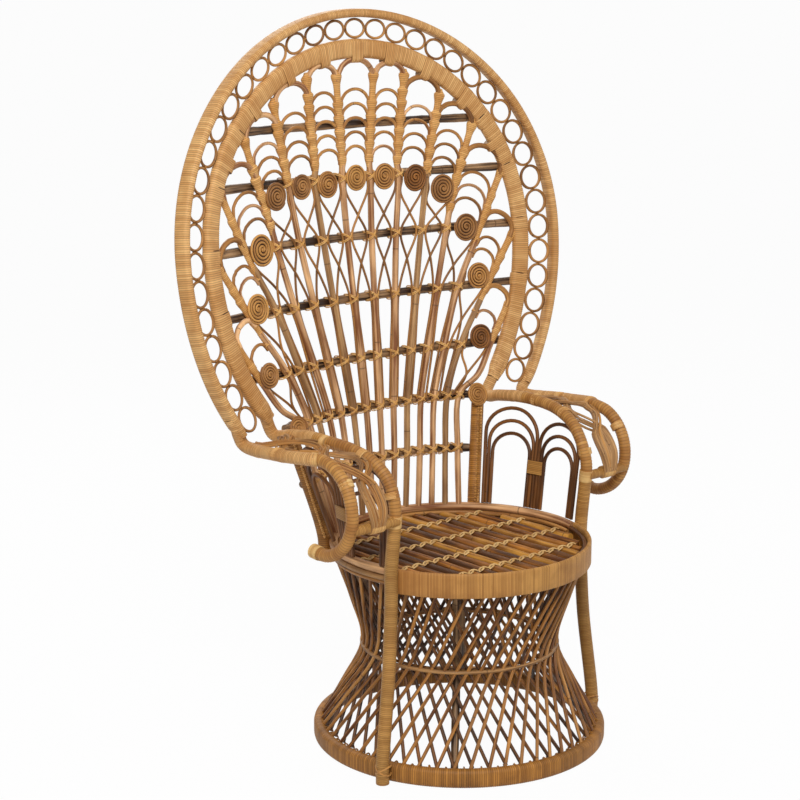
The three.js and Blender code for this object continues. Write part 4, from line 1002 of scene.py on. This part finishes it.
def buildCoil(name, centre, normal, radius, finish):
    s = coilSizes
    across = np.cross(normal, (0, 0, 1.0))
    across /= np.linalg.norm(across)
    up = np.cross(across, normal)
    outer = radius - s["cane"] / 2
    start = random.uniform(0, fullTurn)
    hand = random.choice((1, -1))
    count = int(s["turns"] * s["steps"])
    path, swell, shadeCane = [], [], []
    for k in range(count + 1):
        a = start + hand * fullTurn * k / s["steps"]
        r = outer * (1 - k / count) ** s["closer"] - s["tuck"] * max(0, 1 - k / s["tuckSteps"])
        out = across * math.cos(a) + up * math.sin(a)
        path.append(centre + out * r - normal * s["dish"] * (1 - r / outer) ** 1.5)
        swell.append(min(1, 0.5 + k * 0.06) * (1 - 0.1 * k / count))
        shadeCane.append(centre + out * max(r - outer / s["turns"] / 2, 0.0002) + normal * s["shadeCaneBack"])
    plug = [centre + normal * depth for depth in s["plugDepths"]]

    def coilFacing(p):
        return -normal

    def plugFacing(p):
        return up
    # the second, near-black cane lies behind the gaps between the turns and paints their shade
    coil = [rollCane(name, path, coilFacing, roundOutline(s["cane"], 8), finish, swell),
            rollCane(name, shadeCane[:-s["shadeCaneShort"]], coilFacing, roundOutline(s["shadeCane"], 6, 0.5), "grooveShade"),
            rollCane(name, plug, plugFacing, roundOutline(s["plug"], 8), finish, s["plugSwell"])]
    settle(joinPieces(name, coil), "plain_cane", name)


def buildCoils():
    s = coilSizes
    for side, hand in hands.items():
        for (at, i), (across, up, radius, finish) in coilTable.items():
            if at != side:
                continue
            level = arcSizes["coils"][i] + up
            x = (columnAt(columns[innerColumn(side, i)], level) + columnAt(columns[side, i], level)) / 2 + across
            name = f"rosette_{hand}_{i}" if i else "rosette_middle"
            buildCoil(name, onSheet(x, level, -s["proud"]), sheetNormal(x, level), radius, finish)
        low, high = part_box(f"rosette_{hand}_post")
        centre = (np.array(low) + np.array(high)) / 2
        normal = sheetNormal(centre[0], centre[2])
        buildCoil(f"rosette_{hand}_post", centre - normal * s["postBack"], normal, s["post"], "cane")


print("fan of stakes, ribs, arcs and coils")
columns, crowns = buildFan()
buildCoils()
print("oval rims and the chain of rings")
buildOvalRims(crowns)
buildRings()

barKnots = {"cane": 0.0025, "front": -0.0082, "back": 0.0265, "wide": 0.0125, "tall": 0.0092, "apart": 0.6,
            "tilt": 0.12, "clear": 0.01}
postSizes = {"cane": 0.0275, "turn": 0.137, "top": 0.632, "spread": 0.258, "outward": 0.01, "bead": 0.0022,
             "chain": 0.0058, "chainAt": (-0.004, -0.0123, 0), "chains": ((-0.0045, "beaded"), (0.0035, "rib"))}
legSizes = {"cane": 0.025, "turn": 0.1986, "rail": 0.646, "spread": 0.285, "reach": 0.105, "knee": 0.545,
            "scrollSpread": 0.372, "scrollLevel": 0.456, "spoke": 0.02, "spokeLevel": 0.52, "gap": 0.0004,
            "legSpots": 64, "bandSpots": 53, "railSpots": 54, "thicker": 1.06, "collar": 1.12, "tip": 1.14,
            "footTie": 0.0036, "footLoop": 0.0165, "footTilt": 0.62, "footLevel": 0.72, "footOut": 0.008}


def postPath(side):
    radius = seat["radius"] + postSizes["outward"]
    return [onCircle(radius, side * postSizes["turn"], seat["level"] - seat["apron"]),
            onCircle(radius, side * postSizes["turn"], seat["level"]),
            onSheet(side * postSizes["spread"], postSizes["top"])]


def lashLoops():  # loops that cross in front
    s = barKnots
    loops = []
    depth, middle = (s["back"] - s["front"]) / 2, (s["back"] + s["front"]) / 2
    for hand in (1, -1):
        for shift in (-s["apart"], s["apart"]):
            loop = [(s["wide"] * math.sin(a), middle - depth * math.cos(a) - 0.0004 * hand,
                     hand * s["tall"] * math.sin(a) + shift * s["cane"]) for a in np.linspace(0, fullTurn, 15)]
            loops.append(rollCane("lash", loop, upFacing, roundOutline(s["cane"], 5), "straw", closed=True))
    return joinPieces("lash", loops)


def buildBars():
    lash = lashLoops()
    halfTurn = Matrix.Rotation(math.pi, 4, "Z")
    lashes = []
    for index, level in enumerate(bars["levels"]):
        low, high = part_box(f"crossbar_{index + 1}")
        path = [onSheet(low.x + (high.x - low.x) * k / 60, level, bars["behind"]) for k in range(61)]
        swell = [1 + 0.05 * math.sin(k * 0.7 + index) + random.uniform(-0.035, 0.035) for k in range(61)]
        bar = rollCane(f"bar{index + 1}", path, sheetFacing, roundOutline(bars["thick"], 14), "bark", swell)
        settle(bar, "bark_pole", f"crossbar_{index + 1}")
        for line in columns.values():
            x = columnAt(line, level)
            if level > line[-2][1] + barKnots["clear"] or not low.x < x < high.x:
                continue
            normal = sheetNormal(x, level)
            turned = Matrix.Rotation(random.uniform(-barKnots["tilt"], barKnots["tilt"]), 4, "Y")
            place = standAt(onSheet(x, level), np.cross((0, 0, 1.0), normal), -normal)
            lashes.append(copyPiece(lash, place @ halfTurn @ turned))
    dropPiece(lash)
    settle(joinPieces("barLashings", lashes), "plain_cane")


def frontFacing(p):
    return np.array([0, -1.0, 0])


def buildPosts():
    s = postSizes
    for side, hand in hands.items():
        path = roundPath(postPath(side), 20)
        pieces = [wrapCane(f"rearPost_{hand}", path, outwardFacing, roundOutline(s["cane"], 14), "foot")]
        beads = resample(roundPath(postPath(side)[1:], 30), s["bead"])
        swell = [1.0 if k % 3 else 0.55 for k in range(len(beads))]
        for shift, finish in s["chains"]:  # two chains of beads climb its front
            spots = beads + np.array(s["chainAt"]) + np.array([shift * side, 0, 0])
            pieces.append(rollCane("chain", spots, frontFacing, roundOutline(s["chain"], 8), finish, swell))
        settle(joinPieces(f"rearPost_{hand}", pieces), "wrapped_cane", f"rear_post_{hand}")


def legPoints(side):
    s = legSizes
    outward = s["gap"] + s["cane"] / 2 * math.cos(math.pi / 6)
    legTurn = 0.5 - s["turn"]
    legRadius = seat["radius"] + outward
    footRadius = baseSizes["radius"] + outward

    def at(radius, level):
        return onCircle(radius, side * legTurn, level)

    def rail(x, y, z):
        return np.array([side * x, midY + y, z])
    top = at(legRadius, seat["level"])
    shoulder = top[0] * side
    bandEnd = onSheet(*ovalAt(side * oval["bandEnd"], bandEdge))
    rise = s["rail"] - s["knee"]
    return [at(footRadius, 0.0), at(footRadius, baseSizes["height"]),
            at((legRadius + footRadius) / 2 - s["cane"] / 3, (seat["level"] + baseSizes["height"]) / 2),
            at(legRadius, seat["level"] - seat["apron"]), top,
            rail(shoulder, -s["reach"] + s["cane"] / 3, s["spokeLevel"] - s["cane"] / 2),
            rail(shoulder, -s["reach"] + s["cane"] / 4, s["knee"]),
            rail(shoulder, -s["reach"] * 0.78, s["knee"] + rise * 0.45),
            rail(shoulder + s["cane"] / 4, -s["reach"] * 0.47, s["knee"] + rise * 0.76),
            rail(s["spread"] - s["cane"] / 3, 0, s["rail"] - s["cane"] / 4),
            rail(s["spread"], s["reach"] * 0.6, s["rail"]),
            rail(s["spread"], s["reach"] * 1.2, s["rail"]),
            np.array([side * s["spread"], bandEnd[1] - 2 * s["cane"], s["rail"] - s["cane"] / 4]),
            np.array([bandEnd[0], bandEnd[1], s["rail"] - s["cane"] / 2])]


def railPoints(side):
    s = legSizes
    rimEnd = onSheet(*ovalAt(side * oval["rimEnd"], oval["rimWidth"] / 2))
    level = rimEnd[2] - oval["rimWidth"] / 2 - s["cane"] / 2
    wide = abs(rimEnd[0])
    top = s["rail"] - s["cane"] / 4
    radius = (top - s["scrollLevel"]) / 2
    points = [np.array([rimEnd[0] * 0.985, rimEnd[1] + 0.006, level + 0.003]),
              np.array([side * wide, midY + s["reach"], level + s["cane"] / 8]),
              np.array([side * (wide + s["scrollSpread"]) / 2, midY, top])]
    for i in range(9):
        turn = i / 8 * fullTurn * 0.54
        points.append(np.array([side * s["scrollSpread"], midY - s["reach"] + radius * (1 - math.sin(turn)),
                                s["scrollLevel"] + radius + radius * math.cos(turn)]))
    return points


def bands(path, spacing, size=0.04, width=0.007):  # thicker binding turns along a rail
    path = np.array(path)
    run = pathLength(path)
    marks = [np.array([np.interp(d, run, path[:, k]) for k in range(3)])
             for d in np.arange(spacing / 2, run[-1], spacing)]

    def swell(p):
        near = min(np.linalg.norm(p - mark) for mark in marks)
        return 1 + size * math.exp(-(near / width) ** 4)
    return swell


weaveSizes = {"cane": 0.0052, "canes": 6, "width": 0.027, "waves": 1.5, "clear": 0.006, "over": 0.0032,
              "stray": (0.001, 0.0045), "tones": ["weave", "pale", "weave", "cane"], "spots": 67, "whole": 72,
              "knot": 0.031, "knotFlat": 0.86, "knotStep": 0.01, "knotInward": 0.003, "knotRidge": 0.05,
              "inner": (0.33, 0.62, 0.93), "outer": (0.33, 0.62, 0.9), "hub": 0.0265, "hubStep": 0.008}


def along(path, t):
    run = pathLength(path)
    return np.array([np.interp(t * run[-1], run, path[:, k]) for k in range(3)])


def weaveFacing(p):
    return np.array(Vector((0, p[1] - midY, p[2] - legSizes["spokeLevel"])).normalized())


def spokeDepth(rails):  # where the spoke meets the outer rail, front to back
    return min(rails, key=lambda p: abs(p[2] - legSizes["spokeLevel"]) + p[1])[1]


def weaveStrand(side, hub, inner, outer, way, k, stray, phase):
    # One cane of a bundle: it swings from rail to rail, strays a little and ends at the spoke
    s = weaveSizes
    lane = (k - (s["canes"] - 1) / 2) * s["width"] / s["canes"]
    path = []
    for i in range(s["spots"]):
        t = i / s["whole"]
        wave = t * s["waves"] * fullTurn
        a, b = along(inner, t), along(outer, t)
        ahead = along(inner, min(t + 0.01, 1)) - along(inner, max(t - 0.01, 0))
        width = np.linalg.norm(b - a)
        swing = width / 2 - s["clear"] - s["width"] / 2
        q = 0.5 + (way * swing * math.cos(wave) + lane + stray * math.sin(t * 11 + phase)) / width
        normal = np.cross(b - a, ahead)
        normal = normal / np.linalg.norm(normal) * side
        weave = math.sin(wave * 2) if k % 2 else math.cos(wave * 2)
        path.append(a + (b - a) * q + normal * (way * s["over"] * weave + 0.0012 * math.sin(t * 9 + k * 2)))
    end = hub + np.array([side * (lane * 0.8 - way * 0.006), -0.0105, 0.002])
    bend = path[-1] * 0.35 + end * 0.65 + np.array([0, -0.006, 0.014])
    tail = roundPath([path[-9], path[-5], bend, end, end + np.array([0, 0.008, -0.013])], 6)
    return path[:-5] + list(tail[6:])


def buildWeave(side, hand, legs, rails):
    # Two bundles of canes wave across each other, tied to a rail where they meet it
    s = weaveSizes
    inner = roundPath(legs[12:5:-1], 14)
    outer = roundPath(rails[:7], 14)
    hub = np.array([side * (legSizes["scrollSpread"] + abs(legs[6][0])) / 2, spokeDepth(rails),
                    legSizes["spokeLevel"]])
    pieces = []
    for way in (1, -1):
        for k in range(s["canes"]):
            finish = random.choice(s["tones"])
            stray, phase = random.uniform(*s["stray"]), random.uniform(0, fullTurn)
            path = weaveStrand(side, hub, inner, outer, way, k, stray, phase)
            pieces.append(rollCane("weave", path, weaveFacing, roundOutline(s["cane"], 7), finish))
    outline = roundOutline(s["knot"], 14, s["knotFlat"])
    for rail, other, shares in ((inner, outer, s["inner"]), (outer, inner, s["outer"])):
        for share in shares:
            toward = along(other, share) - along(rail, share)
            toward /= np.linalg.norm(toward)
            spots = [along(rail, share + (k - 2) * s["knotStep"]) + toward * s["knotInward"] for k in range(5)]
            pieces.append(wrapCane("knot", spots, weaveFacing, outline, "lashing", s["knotRidge"]))
    spots = [hub + np.array([(k - 2) * s["hubStep"], 0, 0]) for k in range(5)]
    pieces.append(wrapCane("knot", spots, backFacing, roundOutline(s["hub"], 14), "lashing", s["knotRidge"]))
    settle(joinPieces(f"armWeave_{hand}", pieces), "plain_cane", f"arm_weave_{hand}")


panelSizes = {"cane": 0.008, "arches": 3, "step": 0.026, "fromPost": 0.0185, "gap": 0.013, "rearShare": 0.955,
              "frontShare": 0.965, "closeness": 0.93, "outward": 0.006, "lift": 0.0005, "bandThick": 0.0125,
              "band": 0.046, "bandLevels": (0.072, 0.08, 0.09, 0.1), "start": (0.004, -0.02, 0.006)}


def buildPanel(side, hand, legs):
    s = panelSizes
    way = np.array([side, 1, 1])
    railPath = roundPath([postPath(side)[-1] + way * s["start"]] + [legs[k] for k in (11, 10, 9, 8, 7)], 14)
    start = postSizes["turn"] + s["fromPost"] / (fullTurn * seat["radius"])
    end = seatSizes["legTurn"] - s["gap"] / (fullTurn * seat["radius"])
    base = seat["level"] + s["lift"]
    long = (end - start) * fullTurn * stakeRadius

    def spot(share, up):
        low = onCircle(stakeRadius + s["outward"] * share, side * (start + (end - start) * share), base)
        high = along(railPath, share) - np.array([0, 0, legSizes["cane"] / 2])
        return low + (high - low) * up / (high[2] - base)
    pieces = []
    for first, last, tall in ((0.0, 0.5, s["rearShare"]), (0.5, 1.0, s["frontShare"])):
        middle = (first + last) / 2
        crown = along(railPath, middle)[2] - legSizes["cane"] / 2 - base - s["cane"] / 2
        for i in range(s["arches"]):
            half = (last - first) / 2 - (i + 0.5) * (s["cane"] * s["closeness"]) / long
            peak = crown * tall - i * s["step"]
            spring = peak - half * long
            bend = [math.pi * k / 18 for k in range(19)]
            places = [(middle - half, 0), (middle - half, spring * 0.5)]
            places += [(middle - half * math.cos(a), spring + (peak - spring) * math.sin(a)) for a in bend]
            places += [(middle + half, spring * 0.5), (middle + half, 0)]
            arch = [spot(share, up) for share, up in places]
            pieces.append(rollCane("arch", arch, outwardFacing, roundOutline(s["cane"], 10), "dark"))
    outline = flatOutline(s["bandThick"], s["band"], 0.48)
    path = [spot(0.5, up) for up in s["bandLevels"]]
    pieces.append(wrapCane("panelBand", path, outwardFacing, outline, "leg", 0.06))
    settle(joinPieces(f"sidePanel_{hand}", pieces), "dark_cane", f"side_panel_{hand}")


def upBand(turn, inset, drop, count):  # spots that climb a rim of the back from its end
    return [onSheet(*ovalAt(turn - math.copysign(drop * k / count, turn), inset)) for k in range(1, count + 1)]


def footLashing(side):  # a crossed lashing where the leg meets the base ring
    s = legSizes
    ties = []
    level = baseSizes["height"] * s["footLevel"]
    foot = onCircle(baseSizes["radius"] + s["footOut"], side * (0.5 - s["turn"]), level)
    out = outwardFacing(foot)
    for tilt in (s["footTilt"], -s["footTilt"]):
        loop = loopPath(s["footLoop"], s["footLoop"], 0, 21)
        tie = rollCane("footTie", loop, upFacing, roundOutline(s["footTie"], 6), "cane", closed=True)
        tie.data.transform(standAt(foot, out, np.cross(out, (0, 0, 1.0)) + np.array([0, 0, tilt])))
        ties.append(tie)
    return ties


def buildArms():
    s = legSizes
    outline = roundOutline(s["cane"], 16)
    for side, hand in hands.items():
        def legFacing(p, side=side):
            blend = smooth((p[2] - seat["level"]) / 0.08)
            return outwardFacing(p) * (1 - blend) + np.array([side, 0, 0.0]) * blend

        def railFacing(p, side=side):
            return np.array([side, 0, 0.0])
        legs = legPoints(side)
        path = roundPath(legs + upBand(side * oval["bandEnd"], bandEdge - oval["bandWidth"] / 2, 0.016, 2), 12)
        knee, top = s["legSpots"], s["bandSpots"]
        thick, collar = roundOutline(s["cane"] * s["thicker"], 16), roundOutline(s["cane"] * s["collar"], 16)
        canes = [wrapCane("leg", path[:knee + 1], legFacing, thick, "leg", 0.016),
                 wrapCane("leg", path[knee:1 - top], legFacing, outline, "beaded", 0.055),
                 wrapCane("leg", path[-top:], legFacing, outline, swell=bands(path[-top:], 0.07)),
                 wrapCane("collar", path[knee - 4:knee + 4], legFacing, collar, "lashing", 0.03)] + footLashing(side)
        settle(joinPieces(f"frontLeg_{hand}", canes), "wrapped_cane", f"front_leg_{hand}")
        rails = railPoints(side)
        path = roundPath(upBand(side * oval["rimEnd"], oval["rimWidth"] / 2, 0.014, 2)[::-1] + rails, 12)
        front = s["railSpots"]
        depth = spokeDepth(rails)
        spoke = [np.array([x, depth, s["spokeLevel"]]) for x in (side * s["scrollSpread"], legs[6][0])]
        canes = [wrapCane("rail", path[:front + 1], railFacing, outline, swell=bands(path[:front], 0.08)),
                 wrapCane("rail", path[front:], railFacing, outline, "beaded", 0.055),
                 wrapCane("tip", path[-7:], railFacing, roundOutline(s["cane"] * s["tip"], 16), "lashing", 0.04),
                 wrapCane("spoke", spoke, backFacing, roundOutline(s["spoke"], 14), "leg", 0.04)]
        settle(joinPieces(f"armRail_{hand}", canes), "wrapped_cane", f"arm_rail_{hand}")
        buildWeave(side, hand, legs, rails)
        buildPanel(side, hand, legs)


print("bars, posts and arms")
buildBars()
buildPosts()
buildArms()

studio = {"camera": (-2.6387, -2.8007, 1.5343), "pitch": 77.75, "yaw": -41.49, "lens": 89.115,
          "world": 0.28, "floor": 400, "floorTone": 0.8, "floorRough": 0.7, "floorGlow": 0.96, "aim": (0, 0, 0.7),
          "lamps": (("key", (-2.3, -2.5, 3.7), 156, 1.5), ("fill", (2.8, -1.6, 2.0), 20, 2.4),
                    ("rim", (0.8, 2.6, 2.8), 40, 2.0))}


def seenRays(t):
    rays = t.add("ShaderNodeLightPath")
    seen = t.math("MAXIMUM", rays.outputs["Is Camera Ray"], rays.outputs["Is Glossy Ray"])
    return t.math("MAXIMUM", seen, rays.outputs["Is Transmission Ray"])


def buildStudio():
    scene = bpy.context.scene
    deselectAll()
    bpy.ops.mesh.primitive_plane_add(size=studio["floor"], location=(0, 0, 0))
    floor = bpy.context.object
    floor.name = "floor"
    bpy.ops.object.mode_set(mode="EDIT")
    bpy.ops.mesh.subdivide(number_cuts=6)
    bpy.ops.object.mode_set(mode="OBJECT")
    paint = bpy.data.materials.new("paleFloor")
    paint.use_nodes = True
    t = Tree(paint.node_tree)
    shader = paint.node_tree.nodes["Principled BSDF"]
    shader.inputs["Base Color"].default_value = (*[studio["floorTone"]] * 3, 1)
    shader.inputs["Roughness"].default_value = studio["floorRough"]
    glow = t.add("ShaderNodeEmission", Strength=1.0)
    both = t.add("ShaderNodeMixShader")
    t.feed(t.math("MULTIPLY", seenRays(t), studio["floorGlow"]), both, 0)
    t.feed(shader.outputs[0], both, 1)
    t.feed(glow.outputs[0], both, 2)
    t.feed(both.outputs[0], paint.node_tree.nodes["Material Output"], "Surface")
    floor.data.materials.append(paint)
    world = bpy.data.worlds.new("studio")
    scene.world = world
    world.use_nodes = True
    t = Tree(world.node_tree)
    back = world.node_tree.nodes["Background"]
    back.inputs[0].default_value = (1, 1, 1, 1)
    t.feed(t.math("ADD", studio["world"], t.math("MULTIPLY", seenRays(t), 1 - studio["world"])), back, 1)
    for name, spot, power, size in studio["lamps"]:
        light = bpy.data.lights.new(name, "AREA")
        light.energy = power
        light.size = size
        lamp = bpy.data.objects.new(name, light)
        scene.collection.objects.link(lamp)
        lamp.location = spot
        lamp.rotation_euler = (Vector(studio["aim"]) - Vector(spot)).to_track_quat("-Z", "Y").to_euler()
    view = bpy.data.cameras.new("camera")
    view.lens = studio["lens"]
    view.sensor_width = 36
    camera = bpy.data.objects.new("camera", view)
    scene.collection.objects.link(camera)
    x, y, z = studio["camera"]
    camera.location = (x, y + midY, z)
    camera.rotation_euler = (math.radians(studio["pitch"]), 0, math.radians(studio["yaw"]))
    scene.camera = camera
    scene.view_settings.view_transform = "Standard"


print("studio")
buildStudio()
